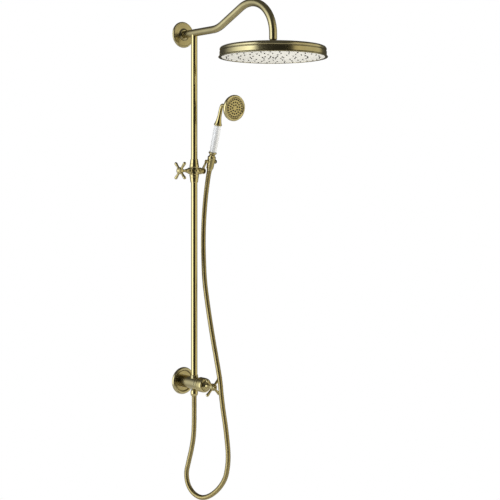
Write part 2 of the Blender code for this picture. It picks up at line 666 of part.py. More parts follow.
def make_clamp(place):
    pad_start = RISER_RADIUS + GAP + BUSH_WALL + 2 * GAP
    pad = solid(CLAMP_PAD_RADIUS, pad_start, pad_start + CLAMP_PAD_LENGTH)
    turned("clamp_pad", "nylon", pad, FEW_SIDES, place, TO_LEFT)
    screw_tip = pad_start + CLAMP_PAD_LENGTH + 2 * GAP
    screw_end = CLAMP_HANDLE_PLANE - 1.5 * MM
    hole = HANDLE_SCREW_RADIUS + GAP
    floor = screw_end - HANDLE_SCREW_REACH - 1 * MM
    screw = [
        (0, screw_tip), (CLAMP_SCREW_RADIUS, screw_tip), (CLAMP_SCREW_RADIUS, screw_end),
        (hole, screw_end), (hole, floor), (0, floor),
    ]
    turned("clamp_screw", "plain_brass", screw, FEW_SIDES, place, TO_LEFT)
    bore = CLAMP_SCREW_RADIUS + GAP
    start = CLAMP_SIDE + GAP
    bell = [
        (bore, start), (9.6 * MM, start), (9.8 * MM, start + 2 * MM), (8 * MM, start + 5 * MM),
        (6.4 * MM, start + 10 * MM), (5.6 * MM, start + BELL_LENGTH), (bore, start + BELL_LENGTH),
    ]
    turned("clamp_bell", "aged_brass", bell, SIDES, place, TO_LEFT)
    neck = CLAMP_HANDLE_PLANE - (start + BELL_LENGTH + RUNNING_GAP)
    side = (place[0] - CLAMP_HANDLE_PLANE, place[1], place[2])
    make_cross_handle("clamp_cross_handle", 5 * MM, neck, bore, side, TO_LEFT)
    make_handle_fastening("clamp_handle", side, TO_LEFT)


# ---------------------------------------------------------------- holder


def pivot_point():
    """Cradle pivot, out from the wall and up."""
    out = HANDSET_OUT + PIVOT_ALONG * sin(HANDSET_TILT)
    up = SLIDER_HEIGHT + HANDSET_RISE + PIVOT_ALONG * cos(HANDSET_TILT)
    return out, up


def make_swivel(place):
    """Socket cup on the slider, the ball-ended link and its two pivot screws."""
    bore = PIVOT_SCREW_RADIUS + GAP
    start = SWIVEL_SIDE + GAP
    clear = BALL_RADIUS + 0.4 * MM
    mouth = BALL_SIDE - 5 * MM
    inside = [(clear * sin(a), BALL_SIDE - clear * cos(a)) for a in (0.36, 0.65, 0.95)]
    outer = CROSS_BARREL_RADIUS
    cup = [
        (bore, start), (outer - 0.5 * MM, start), (outer + 0.4 * MM, start + 2 * MM),
        (outer + 0.2 * MM, mouth), (inside[2][0], mouth), inside[1], inside[0],
    ]
    turned("swivel_cup", "aged_brass", cup, SIDES, place, TO_RIGHT)
    ball_place = (BALL_SIDE, place[1], place[2])
    ball = [(BALL_RADIUS * sin(a * pi / 8), -BALL_RADIUS * cos(a * pi / 8)) for a in range(9)]
    ball[0] = (0, -BALL_RADIUS)
    ball[-1] = (0, BALL_RADIUS)
    link = turned("cradle_link", "aged_brass", ball, SIDES, ball_place, TO_RIGHT)
    out, up = pivot_point()
    eye_place = (LINK_SIDE, -out, up)
    reach = Vector(eye_place) - Vector(ball_place)
    length = reach.length
    bar = [(0, 0), (3.5 * MM, 0), (3.0 * MM, 0.5 * length), (2.6 * MM, length), (0, length)]
    aim = reach.to_track_quat("Z", "X").to_euler()
    combine(link, side_tool("link_bar", bar, FEW_SIDES, ball_place, aim), "UNION")
    eye = solid(EYE_RADIUS, -EYE_HALF, EYE_HALF)
    combine(link, side_tool("link_eye", eye, SIDES, eye_place, TO_RIGHT), "UNION")
    drill = solid(bore, -14 * MM, 14 * MM)
    combine(link, side_tool("ball_bore", drill, FEW_SIDES, ball_place, TO_RIGHT), "DIFFERENCE")
    drill = solid(PIN_RADIUS + GAP, -14 * MM, 14 * MM)
    combine(link, side_tool("eye_bore", drill, FEW_SIDES, eye_place, TO_RIGHT), "DIFFERENCE")
    shank = PIVOT_SCREW_RADIUS
    head = BALL_SIDE + BALL_RADIUS + GAP
    pivot = [
        (0, start), (shank, start), (shank, head), (4.6 * MM, head),
        (4.2 * MM, head + 1.8 * MM), (0, head + 2.2 * MM),
    ]
    turned("link_pivot_screw", "aged_brass", pivot, FEW_SIDES, place, TO_RIGHT)
    far = LINK_SIDE - EYE_HALF - GAP
    tip = far + 2 * EYE_HALF + 3.2 * MM
    pin = [
        (0, far - 2 * MM), (4.6 * MM, far - 1.6 * MM), (4.8 * MM, far), (PIN_RADIUS, far),
        (PIN_RADIUS, tip), (0, tip),
    ]
    turned("cradle_pivot_screw", "aged_brass", pin, FEW_SIDES, (0, -out, up), TO_RIGHT)


def make_cradle(axis):
    """Tapered ring socket hung on a boss at each side."""
    end = CRADLE_START + CRADLE_LENGTH
    lower = CRADLE_BOTTOM
    upper = CRADLE_TOP
    outline = [
        (0, CRADLE_START), (lower - 0.5 * MM, CRADLE_START), (lower, CRADLE_START + 1.2 * MM),
        (upper, end - 5 * MM), (upper + 0.4 * MM, end - 1.5 * MM), (upper - 0.4 * MM, end), (0, end),
    ]
    cradle = turned("handset_cradle", "aged_brass", outline, SIDES, parent=axis)
    inner_side = LINK_SIDE + EYE_HALF + GAP - HANDSET_SIDE
    pivot = (0, 0, PIVOT_ALONG)
    boss = solid(BOSS_RADIUS, inner_side, BOSS_SIDE)
    combine(cradle, side_tool("cradle_boss", boss, SIDES, pivot, TO_RIGHT, axis), "UNION")
    taper = (upper - lower) / CRADLE_LENGTH
    bore = lower - CRADLE_WALL
    beyond = 5 * MM
    tool = [
        (0, CRADLE_START - beyond), (bore - taper * beyond, CRADLE_START - beyond),
        (bore + taper * (CRADLE_LENGTH + beyond), end + beyond), (0, end + beyond),
    ]
    combine(cradle, turned("cradle_bore", "aged_brass", tool, SIDES, parent=axis), "DIFFERENCE")
    hole = solid(PIN_RADIUS + GAP, inner_side - 1 * MM, inner_side + 3.9 * MM)
    combine(cradle, side_tool("pivot_hole", hole, FEW_SIDES, pivot, TO_RIGHT, axis), "DIFFERENCE")
    base = BOSS_SIDE + GAP
    cap = [
        (0, base), (5.4 * MM, base), (6.2 * MM, base + 1 * MM), (6.2 * MM, base + 3.1 * MM),
        (5 * MM, base + 4.3 * MM), (0, base + 4.6 * MM),
    ]
    turned("cradle_side_cap", "aged_brass", cap, SIDES, pivot, TO_RIGHT, axis)


def make_hose_cone(axis):
    """Conical hose nut that sits in the cradle's taper."""
    taper = (CRADLE_TOP - CRADLE_BOTTOM) / CRADLE_LENGTH
    at_start = CRADLE_BOTTOM - CRADLE_WALL - GAP
    end = CRADLE_START + CRADLE_LENGTH
    thread = CORE_RADIUS + GAP
    at_end = at_start + CRADLE_LENGTH * taper
    top = COLLAR_START - GAP
    seat = COLLAR_START - CORE_IN_COLLAR
    cone = [
        (HOSE_BORE, GAP), (7.6 * MM, GAP), (at_start - CRADLE_START * taper, 1.5 * MM),
        (at_end, end), (at_end, end + 1.5 * MM), (8.5 * MM, top), (thread, top), (thread, seat),
        (HOSE_BORE, seat),
    ]
    turned("hose_cone_nut", "aged_brass", cone, SIDES, parent=axis)
    washer = ring(HOSE_BORE + GAP, CORE_RADIUS, seat + GAP, seat + 2 * MM)
    turned("handset_washer", "rubber", washer, FEW_SIDES, parent=axis)


# ---------------------------------------------------------------- handset


def bezier(points, t):
    first, second, third, fourth = points
    s = 1 - t
    return first * s**3 + second * (3 * s * s * t) + third * (3 * s * t * t) + fourth * t**3


def neck_end():
    """Where the neck meets the spray head, in the handset's own frame."""
    return Vector((0, -NECK_FORWARD, GRIP_START + GRIP_LENGTH + NECK_RISE))


def neck_shape():
    """Neck centre line and radii in the handset's own frame: flare, straight run, then the bend."""
    start = GRIP_START + GRIP_LENGTH + GAP
    ferrule = FERRULE_RADIUS
    flare = [
        (0, ferrule - 0.8 * MM), (1.2 * MM, ferrule), (3.5 * MM, ferrule - 0.2 * MM),
        (6.5 * MM, ferrule - 1.8 * MM), (11 * MM, 9 * MM), (17.5 * MM, 7.6 * MM),
        (25.5 * MM, 6.4 * MM),
    ]
    path = [Vector((0, 0, start + height)) for height, _ in flare]
    radii = [radius for _, radius in flare]
    end = neck_end()
    facing = Vector((0, -sin(SPRAY_TILT), cos(SPRAY_TILT)))
    bend_start = path[-1]
    hull = (bend_start, bend_start + Vector((0, 0, 52 * MM)), end - facing * (44 * MM), end)
    steps = 7
    for i in range(1, steps + 1):
        path.append(bezier(hull, i / steps))
        radii.append(NECK_RADIUS)
    return path, radii


def make_neck(axis):
    path, radii = neck_shape()
    bm = hollow_tube(path, radii, [NECK_BORE] * len(path), FEW_SIDES)
    neck = add_object("handset_neck", bm, "aged_brass", parent=axis)
    start = GRIP_START + GRIP_LENGTH + GAP
    socket = solid(CORE_RADIUS + GAP, start - 2 * MM, start + CORE_IN_NECK)
    combine(neck, turned("neck_socket", "aged_brass", socket, FEW_SIDES, parent=axis), "DIFFERENCE")


def make_grip(axis):
    bore = CORE_RADIUS + GAP
    top = GRIP_START - GAP
    base = COLLAR_START
    collar = [
        (bore, base), (8.5 * MM, base), (8.4 * MM, base + 2 * MM), (9.8 * MM, base + 4 * MM),
        (12 * MM, base + 5.8 * MM), (12.4 * MM, base + 7.7 * MM), (11.4 * MM, top - 0.6 * MM),
        (10.2 * MM, top), (bore, top),
    ]
    turned("handset_collar", "aged_brass", collar, SIDES, parent=axis)
    end = GRIP_START + GRIP_LENGTH
    radius = GRIP_RADIUS
    middle = GRIP_START + 0.5 * GRIP_LENGTH
    grip = [
        (bore, GRIP_START), (radius - 1.2 * MM, GRIP_START), (radius - 0.2 * MM, GRIP_START + 1.5 * MM),
        (radius + 0.3 * MM, middle), (radius - 0.3 * MM, end - 1.5 * MM), (radius - 1.3 * MM, end),
        (bore, end),
    ]
    turned("handset_grip", "porcelain", grip, SIDES, parent=axis)
    core_start = COLLAR_START - CORE_IN_COLLAR + 2 * MM + GAP
    core = ring(CORE_RADIUS - CORE_WALL, CORE_RADIUS, core_start, end + CORE_IN_NECK - GAP)
    turned("handset_core_tube", "plain_brass", core, FEW_SIDES, parent=axis)


def make_spray_head(axis):
    """Round spray head at the end of the neck, facing along its own axis."""
    head = add_empty("spray_axis", neck_end(), (SPRAY_TILT, 0, 0), axis)
    rim = SPRAY_RADIUS
    inner = rim - 7.6 * MM
    shell = [
        (NECK_BORE, GAP), (6.4 * MM, GAP), (12 * MM, 1.6 * MM), (22 * MM, 4.8 * MM),
        (31 * MM, 8.6 * MM), (rim - 1.6 * MM, 12.5 * MM), (rim, 16 * MM), (rim, 20 * MM),
        (rim - 1.4 * MM, 23 * MM), (rim - 4 * MM, SPRAY_DEPTH), (inner, SPRAY_DEPTH - 0.7 * MM),
        (inner, 14 * MM), (21 * MM, 7 * MM), (6 * MM, 3 * MM), (NECK_BORE, 3 * MM),
    ]
    turned("spray_shell", "aged_brass", shell, SIDES, parent=head)
    back = SPRAY_DEPTH - 3.4 * MM
    plate = solid(inner - GAP, back, back + PLATE_THICKNESS)
    turned("spray_face_plate", "polished_brass", plate, SIDES, parent=head)
    gasket = ring(inner - 6.7 * MM, inner - 2.2 * MM, back - 1.8 * MM, back - GAP)
    turned("spray_gasket", "rubber", gasket, SIDES, parent=head)


# ---------------------------------------------------------------- hose


def smooth_route(points):
    """Catmull-Rom curve through the route, sampled at an even spacing."""
    padded = [2 * points[0] - points[1]] + points + [2 * points[-1] - points[-2]]
    fine = []
    for a, b, c, d in zip(padded, padded[1:], padded[2:], padded[3:]):
        for i in range(12):
            t = i / 12
            square = (2 * a - 5 * b + 4 * c - d) * t**2
            cube = (3 * b - a - 3 * c + d) * t**3
            fine.append(0.5 * (2 * b + (c - a) * t + square + cube))
    fine.append(points[-1])
    total = sum((q - p).length for p, q in zip(fine, fine[1:]))
    count = round(total / HOSE_SPACING)
    step = total / count
    even = [fine[0]]
    walked = 0.0
    for p, q in zip(fine, fine[1:]):
        span = (q - p).length
        while walked + span >= step * len(even) and len(even) < count:
            even.append(p.lerp(q, (step * len(even) - walked) / span))
        walked += span
    even.append(fine[-1])
    return even


def make_hose():
    top = Vector((HANDSET_SIDE, -HANDSET_OUT, SLIDER_HEIGHT + HANDSET_RISE))
    foot = Vector((0, -RISER_OFFSET, -OUTLET_NUT_END - GAP))
    between = [Vector((right, -out, up)) * MM for right, out, up in HOSE_ROUTE]
    route = [top] + between + [foot]
    curve = bpy.data.curves.new("shower_hose", "CURVE")
    curve.dimensions = "3D"
    curve.bevel_depth = HOSE_RADIUS
    curve.bevel_resolution = 2
    curve.use_fill_caps = True
    spline = curve.splines.new("POLY")
    points = smooth_route(route)
    spline.points.add(len(points) - 1)
    for point, place in zip(spline.points, points):
        point.co = (*place, 1)
    curve.materials.append(material_for("shower_hose", "aged_brass"))
    hose = bpy.data.objects.new("shower_hose", curve)
    bpy.context.scene.collection.objects.link(hose)


def make_outlet_nut():
    """Round nut that holds the hose to the valve's spigot, with its washer."""
    radius = OUTLET_NUT_RADIUS
    center = (OUTLET_NUT_TOP + OUTLET_NUT_END) / 2
    half = (OUTLET_NUT_END - OUTLET_NUT_TOP) / 2
    angles = (0.9, 0.55, 0.2, -0.2, -0.55, -0.9)
    round_side = [(radius * cos(a), -center + half * sin(a)) for a in angles]
    bore = OUTLET_SPIGOT_RADIUS + GAP
    spigot_end = -OUTLET_SPIGOT_LENGTH
    seat = spigot_end - 2.6 * MM
    profile = [(bore, -OUTLET_NUT_TOP)] + round_side + [
        (6.4 * MM, -OUTLET_NUT_END), (HOSE_BORE, -OUTLET_NUT_END), (HOSE_BORE, seat), (bore, seat),
    ]
    place = (0, -RISER_OFFSET, 0)
    turned("hose_outlet_nut", "aged_brass", profile, SIDES, place)
    washer = ring(HOSE_BORE + GAP, OUTLET_SPIGOT_RADIUS - GAP, seat + GAP, spigot_end - GAP)
    turned("outlet_washer", "rubber", washer, FEW_SIDES, place)


def main():
    clear_scene()
    make_lower_flange()
    make_upper_flange()
    make_valve_body()
    make_valve_internals()
    make_bonnet()
    make_valve_handle()
    make_riser()
    make_arm()
    make_arm_fixing()
    make_head_swivel()
    make_rain_head()
    slider = (0, -RISER_OFFSET, SLIDER_HEIGHT)
    make_slider(slider)
    make_clamp(slider)
    make_swivel(slider)
    handset = add_empty(
        "handset_axis", (HANDSET_SIDE, -HANDSET_OUT, SLIDER_HEIGHT + HANDSET_RISE), (HANDSET_TILT, 0, 0)
    )
    make_cradle(handset)
    make_hose_cone(handset)
    make_grip(handset)
    make_neck(handset)
    make_spray_head(handset)
    make_outlet_nut()
    make_hose()


main()
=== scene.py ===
import json
import math

import bmesh
import bpy
from mathutils import Matrix, Vector


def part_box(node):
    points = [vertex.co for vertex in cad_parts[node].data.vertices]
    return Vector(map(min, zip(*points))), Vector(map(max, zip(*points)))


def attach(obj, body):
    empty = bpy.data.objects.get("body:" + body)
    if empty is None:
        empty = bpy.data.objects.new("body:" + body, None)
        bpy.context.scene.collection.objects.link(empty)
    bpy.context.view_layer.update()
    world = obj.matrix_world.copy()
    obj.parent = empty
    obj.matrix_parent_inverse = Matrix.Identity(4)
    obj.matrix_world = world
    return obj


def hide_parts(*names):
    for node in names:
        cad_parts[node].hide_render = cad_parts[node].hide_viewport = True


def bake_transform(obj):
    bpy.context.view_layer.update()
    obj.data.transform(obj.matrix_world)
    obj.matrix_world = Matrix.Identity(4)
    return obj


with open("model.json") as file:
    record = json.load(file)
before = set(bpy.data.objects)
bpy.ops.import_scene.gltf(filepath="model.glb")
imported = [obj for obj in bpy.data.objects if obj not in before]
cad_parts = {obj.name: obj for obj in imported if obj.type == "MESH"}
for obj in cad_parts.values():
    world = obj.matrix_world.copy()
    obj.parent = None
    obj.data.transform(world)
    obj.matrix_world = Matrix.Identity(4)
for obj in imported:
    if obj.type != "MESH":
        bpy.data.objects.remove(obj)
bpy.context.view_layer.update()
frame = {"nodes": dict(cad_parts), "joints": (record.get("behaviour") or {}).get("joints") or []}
mm = 0.001
joints = {joint["name"]: joint for joint in frame["joints"]}
turns = {
    "up": Matrix.Identity(4),
    "front": Matrix.Rotation(math.pi / 2, 4, "X"),
    "right": Matrix.Rotation(math.pi / 2, 4, "Y"),
    "left": Matrix.Rotation(-math.pi / 2, 4, "Y"),
}

# camera
cameraView = {
    "place": (-1.9924, -2.6456, 0.5839),
    "turn": -40.5,
    "lens": 78.84,
    "shiftUp": -0.126,
}


def makeCamera(view):
    data = bpy.data.cameras.new("studioCamera")
    data.lens = view["lens"]
    data.sensor_width = 36
    data.shift_y = view["shiftUp"]
    camera = bpy.data.objects.new("studioCamera", data)
    camera.location = view["place"]
    camera.rotation_euler = (math.pi / 2, 0, math.radians(view["turn"]))
    bpy.context.scene.collection.objects.link(camera)
    bpy.context.scene.camera = camera


makeCamera(cameraView)


# small node helpers
def addNode(tree, kind, place=(0, 0), **settings):
    node = tree.nodes.new(kind)
    node.location = place
    for name, value in settings.items():
        setattr(node, name, value)
    return node


def addMath(tree, operation, first, second=None, place=(0, 0)):
    node = addNode(tree, "ShaderNodeMath", place, operation=operation)
    for socket, value in zip(node.inputs, (first, second)):
        if isinstance(value, (int, float)):
            socket.default_value = value
        elif value is not None:
            tree.links.new(value, socket)
    return node.outputs[0]


def addRamp(tree, factor, stops, place=(0, 0)):
    node = addNode(tree, "ShaderNodeValToRGB", place)
    ramp = node.color_ramp
    while len(ramp.elements) < len(stops):
        ramp.elements.new(0.5)
    for element, (position, value) in zip(ramp.elements, stops):
        element.position = position
        element.color = (*value, 1) if isinstance(value, tuple) else (value, value, value, 1)
    tree.links.new(factor, node.inputs["Fac"])
    return node.outputs["Color"]


def addMix(tree, factor, first, second, place=(0, 0), blend="MIX"):
    node = addNode(tree, "ShaderNodeMix", place, data_type="RGBA", blend_type=blend)
    for socket, value in ((node.inputs[0], factor), (node.inputs[6], first), (node.inputs[7], second)):
        if isinstance(value, (int, float)):
            socket.default_value = value
        elif isinstance(value, tuple):
            socket.default_value = (*value, 1)
        else:
            tree.links.new(value, socket)
    return node.outputs[2]


def startGroup(name, inputs, outputs):
    group = bpy.data.node_groups.new(name, "ShaderNodeTree")
    for label, kind, value in inputs:
        socket = group.interface.new_socket(label, in_out="INPUT", socket_type=kind)
        if value is not None:
            socket.default_value = value
    for label, kind in outputs:
        group.interface.new_socket(label, in_out="OUTPUT", socket_type=kind)
    start = addNode(group, "NodeGroupInput", (-900, 0))
    end = addNode(group, "NodeGroupOutput", (700, 0))
    return group, start, end


def makeGrainGroup():
    # fine lines left by brushing, which run round a turned piece and along a tube's ring
    inputs = (
        ("Line Density", "NodeSocketFloat", 900.0),
        ("Line Length", "NodeSocketFloat", 40.0),
    )
    group, start, end = startGroup(
        "brushGrain", inputs, (("Lines", "NodeSocketFloat"), ("Streaks", "NodeSocketFloat")),
    )
    grain = addNode(group, "ShaderNodeAttribute", (-900, -200), attribute_name="grain")
    scale = addNode(group, "ShaderNodeCombineXYZ", (-700, 0))
    group.links.new(start.outputs["Line Length"], scale.inputs["X"])
    group.links.new(start.outputs["Line Length"], scale.inputs["Y"])
    group.links.new(start.outputs["Line Density"], scale.inputs["Z"])
    stretched = addNode(group, "ShaderNodeVectorMath", (-500, 0), operation="MULTIPLY")
    group.links.new(grain.outputs["Vector"], stretched.inputs[0])
    group.links.new(scale.outputs[0], stretched.inputs[1])
    fine = addNode(group, "ShaderNodeTexNoise", (-300, 100))
    fine.inputs["Scale"].default_value = 1.0
    fine.inputs["Detail"].default_value = 3.0
    group.links.new(stretched.outputs[0], fine.inputs["Vector"])
    broad = addNode(group, "ShaderNodeTexNoise", (-300, -200))
    broad.inputs["Scale"].default_value = 0.21
    broad.inputs["Detail"].default_value = 2.0
    group.links.new(stretched.outputs[0], broad.inputs["Vector"])
    group.links.new(fine.outputs["Fac"], end.inputs["Lines"])
    group.links.new(broad.outputs["Fac"], end.inputs["Streaks"])
    return group


def makeAgeGroup():
    # darker and redder clouds where the metal has aged, fading in and out over a few centimetres
    inputs = (("Cloud Size", "NodeSocketFloat", 26.0), ("Speck Size", "NodeSocketFloat", 420.0))
    outputs = (("Clouds", "NodeSocketFloat"), ("Specks", "NodeSocketFloat"))
    group, start, end = startGroup("agedClouds", inputs, outputs)
    where = addNode(group, "ShaderNodeTexCoord", (-900, -200))
    clouds = addNode(group, "ShaderNodeTexNoise", (-500, 100))
    clouds.inputs["Detail"].default_value = 4.0
    clouds.inputs["Distortion"].default_value = 0.4
    specks = addNode(group, "ShaderNodeTexNoise", (-500, -200))
    specks.inputs["Detail"].default_value = 2.0
    for texture, label in ((clouds, "Cloud Size"), (specks, "Speck Size")):
        group.links.new(where.outputs["Object"], texture.inputs["Vector"])
        group.links.new(start.outputs[label], texture.inputs["Scale"])
    group.links.new(
        addRamp(group, clouds.outputs["Fac"], ((0.35, 0.0), (0.68, 1.0)), (-250, 100)),
        end.inputs["Clouds"],
    )
    group.links.new(
        addRamp(group, specks.outputs["Fac"], ((0.60, 0.0), (0.72, 1.0)), (-250, -200)),
        end.inputs["Specks"],
    )
    return group


def makeWearAndShadeGroup():
    # rubbed outer edges and painted shade in the inner corners, broken up by noise
    inputs = (("Breakup", "NodeSocketFloat", 260.0),)
    group, start, end = startGroup(
        "edgeWearAndShade", inputs, (("Rubbed", "NodeSocketFloat"), ("Crevice Shade", "NodeSocketFloat")),
    )
    where = addNode(group, "ShaderNodeTexCoord", (-900, -200))
    noise = addNode(group, "ShaderNodeTexNoise", (-650, -100))
    noise.inputs["Detail"].default_value = 3.0
    group.links.new(where.outputs["Object"], noise.inputs["Vector"])
    group.links.new(start.outputs["Breakup"], noise.inputs["Scale"])
    broken = addRamp(group, noise.outputs["Fac"], ((0.3, 0.35), (0.62, 1.0)), (-420, -100))
    for label, name in (("Rubbed", "wear"), ("Crevice Shade", "creviceShade")):
        mask = addNode(group, "ShaderNodeAttribute", (-650, 200), attribute_name=name)
        group.links.new(addMath(group, "MULTIPLY", mask.outputs["Fac"], broken, (0, 0)), end.inputs[label])
    return group


grainGroup = makeGrainGroup()
ageGroup = makeAgeGroup()
wearAndShadeGroup = makeWearAndShadeGroup()


def startMaterial(name):
    material = bpy.data.materials.new(name)
    material.use_nodes = True
    tree = material.node_tree
    shader = tree.nodes["Principled BSDF"]
    return material, tree, shader


def placeGroup(tree, group, place, **values):
    node = addNode(tree, "ShaderNodeGroup", place, node_tree=group)
    for label, value in values.items():
        node.inputs[label.replace("_", " ")].default_value = value
    return node


def makeMetal(name, look):
    material, tree, shader = startMaterial(name)
    grain = placeGroup(
        tree, grainGroup, (-900, 200), Line_Density=look["lineDensity"], Line_Length=look["lineLength"],
    )
    age = placeGroup(tree, ageGroup, (-900, 0), Cloud_Size=look["cloudSize"])
    wear = placeGroup(tree, wearAndShadeGroup, (-900, -200))
    clouded = addMath(tree, "MULTIPLY", age.outputs["Clouds"], look["cloudShare"])
    tone = addMix(tree, clouded, look["color"], look["agedColor"])
    streaks = addMath(
        tree, "MULTIPLY", addMath(tree, "SUBTRACT", grain.outputs["Streaks"], 0.4), look["streakShare"],
    )
    tone = addMix(tree, streaks, tone, look["agedColor"])
    specks = addMath(tree, "MULTIPLY", age.outputs["Specks"], look["speckShare"])
    tone = addMix(tree, specks, tone, look["speckAndShadeColor"])
    tone = addMix(
        tree, addMath(tree, "MULTIPLY", wear.outputs["Rubbed"], look["rubShare"]), tone, look["rubColor"],
    )
    # painted shade: inner corners and rib grooves darkened towards the near-black colour
    tone = addMix(
        tree, addMath(tree, "MULTIPLY", wear.outputs["Crevice Shade"], look["creviceShadeShare"]), tone, look["speckAndShadeColor"],
    )
    tree.links.new(tone, shader.inputs["Base Color"])
    rough = addMath(tree, "MULTIPLY", grain.outputs["Streaks"], look["roughSpread"])
    rough = addMath(tree, "ADD", rough, look["roughness"] - 0.5 * look["roughSpread"])
    rough = addMath(tree, "ADD", rough, addMath(tree, "MULTIPLY", age.outputs["Clouds"], 0.06))
    rough = addMath(tree, "ADD", rough, addMath(tree, "MULTIPLY", wear.outputs["Crevice Shade"], 0.25))
    tree.links.new(rough, shader.inputs["Roughness"])
    shader.inputs["Metallic"].default_value = 1.0
    bump = addNode(tree, "ShaderNodeBump", (-200, -400))
    bump.inputs["Strength"].default_value = look["grainDepth"]
    bump.inputs["Distance"].default_value = 0.0002
    tree.links.new(grain.outputs["Lines"], bump.inputs["Height"])
    tree.links.new(bump.outputs["Normal"], shader.inputs["Normal"])
    return material


satinBrassLook = {
    "color": (0.475, 0.41, 0.215),
    "agedColor": (0.33, 0.27, 0.125),
    "rubColor": (0.66, 0.59, 0.36),
    # near-black colour for the random specks and for the painted shade in the inner corners
    "speckAndShadeColor": (0.04, 0.03, 0.014),
    "roughness": 0.21,
    "roughSpread": 0.07,
    "lineDensity": 900.0,
    "lineLength": 40.0,
    "cloudSize": 26.0,
    "cloudShare": 0.35,
    "streakShare": 0.5,
    "speckShare": 0.08,
    "rubShare": 0.8,
    # strength of the painted shade in the inner corners
    "creviceShadeShare": 0.9,
    "grainDepth": 0.22,
}
polishedBrassLook = dict(
    satinBrassLook,
    color=(0.56, 0.47, 0.215),
    agedColor=(0.40, 0.32, 0.13),
    rubColor=(0.74, 0.65, 0.37),
    roughness=0.11,
    roughSpread=0.04,
    streakShare=0.3,
    grainDepth=0.04,
)
tubeBrassLook = dict(
    polishedBrassLook,
    roughness=0.10,
    roughSpread=0.04,
    lineDensity=6.0,
    lineLength=260.0,
    streakShare=0.12,
    cloudShare=0.15,
    speckShare=0.02,
    rubShare=0.5,
    grainDepth=0.0012,
)
hoseBrassLook = dict(
    satinBrassLook,
    color=(0.42, 0.335, 0.135),
    agedColor=(0.29, 0.215, 0.08),
    roughness=0.21,
    roughSpread=0.06,
    streakShare=0.2,
    cloudShare=0.35,
    rubShare=0.4,
    # lighter painted shade in the hose's rib grooves
    creviceShadeShare=0.6,
    grainDepth=0.03,
)
plainBrassLook = dict(satinBrassLook, color=(0.58, 0.44, 0.18), agedColor=(0.5, 0.37, 0.15), roughness=0.3)
steelLook = dict(
    satinBrassLook,
    color=(0.5, 0.5, 0.49),
    agedColor=(0.4, 0.4, 0.39),
    rubColor=(0.62, 0.62, 0.61),
    roughness=0.3,
)
# near-black brass: the dark disc in the link's recess, which paints shade there, and the side cap
nearBlackLook = dict(
    polishedBrassLook,
    color=(0.018, 0.015, 0.010),
    agedColor=(0.010, 0.008, 0.005),
    rubColor=(0.07, 0.055, 0.03),
    rubShare=0.3,
)
satinBrass = makeMetal("satinBrass", satinBrassLook)
polishedBrass = makeMetal("polishedBrass", polishedBrassLook)
tubeBrass = makeMetal("tubeBrass", tubeBrassLook)
hoseBrass = makeMetal("hoseBrass", hoseBrassLook)
plainBrass = makeMetal("plainBrass", plainBrassLook)
screwSteel = makeMetal("screwSteel", steelLook)
nearBlackBrass = makeMetal("nearBlackBrass", nearBlackLook)


def makeGlaze(name, look):
    # glaze, rubber and plastics: a faint waviness and a few pinpricks, some under a clear coat
    material, tree, shader = startMaterial(name)
    age = placeGroup(tree, ageGroup, (-900, 0), Cloud_Size=look["cloudSize"], Speck_Size=look["speckSize"])
    tone = addMix(
        tree, addMath(tree, "MULTIPLY", age.outputs["Clouds"], 0.35), look["color"], look["warmColor"],
    )
    specks = addMath(tree, "MULTIPLY", age.outputs["Specks"], look["speckShare"])
    tone = addMix(tree, specks, tone, look["speckColor"])
    tree.links.new(tone, shader.inputs["Base Color"])
    rough = addMath(tree, "MULTIPLY_ADD", age.outputs["Clouds"], look["roughSpread"])
    rough.node.inputs[2].default_value = look["roughness"]
    tree.links.new(rough, shader.inputs["Roughness"])
    shader.inputs["Coat Weight"].default_value = look["coat"]
    shader.inputs["Coat Roughness"].default_value = 0.04
    shader.inputs["IOR"].default_value = look["ior"]
    shader.inputs["Specular IOR Level"].default_value = look["shine"]
    bump = addNode(tree, "ShaderNodeBump", (-200, -400))
    bump.inputs["Strength"].default_value = look["wave"]
    bump.inputs["Distance"].default_value = 0.0006
    tree.links.new(age.outputs["Clouds"], bump.inputs["Height"])
    tree.links.new(bump.outputs["Normal"], shader.inputs["Normal"])
    return material


porcelainLook = {
    "color": (0.64, 0.64, 0.635),
    "warmColor": (0.62, 0.615, 0.605),
    "speckColor": (0.60, 0.59, 0.57),
    "cloudSize": 22.0,
    "speckSize": 700.0,
    "speckShare": 0.02,
    "roughness": 0.10,
    "roughSpread": 0.02,
    "coat": 0.3,
    "ior": 1.5,
    "shine": 0.5,
    "wave": 0.006,
}
creamPlateLook = {
    "color": (0.66, 0.64, 0.58),
    "warmColor": (0.58, 0.555, 0.485),
    "speckColor": (0.52, 0.48, 0.38),
    "cloudSize": 30.0,
    "speckSize": 700.0,
    "speckShare": 0.25,
    "roughness": 0.32,
    "roughSpread": 0.12,
    "coat": 0.15,
    "ior": 1.45,
    "shine": 0.5,
    "wave": 0.15,
}
siliconeLook = {
    "color": (0.018, 0.017, 0.015),
    "warmColor": (0.034, 0.031, 0.026),
    "speckColor": (0.12, 0.11, 0.10),
    "cloudSize": 240.0,
    "speckSize": 1500.0,
    "speckShare": 0.4,
    "roughness": 0.5,
    "roughSpread": 0.2,
    "coat": 0.0,
    "ior": 1.45,
    "shine": 0.3,
    "wave": 0.2,
}
rubberLook = dict(siliconeLook, color=(0.018, 0.018, 0.018), warmColor=(0.035, 0.034, 0.032), roughness=0.62)
nylonLook = dict(
    creamPlateLook,
    color=(0.74, 0.73, 0.69),
    warmColor=(0.68, 0.66, 0.6),
    roughness=0.45,
    coat=0.0,
)
cartridgeLook = dict(
    creamPlateLook,
    color=(0.78, 0.75, 0.68),
    warmColor=(0.70, 0.67, 0.60),
    roughness=0.3,
    coat=0.0,
)
porcelain = makeGlaze("porcelain", porcelainLook)
creamPlate = makeGlaze("creamPlate", creamPlateLook)
silicone = makeGlaze("silicone", siliconeLook)
blackRubber = makeGlaze("blackRubber", rubberLook)
nylon = makeGlaze("nylon", nylonLook)
cartridgeWhite = makeGlaze("cartridgeWhite", cartridgeLook)
print("materials made")


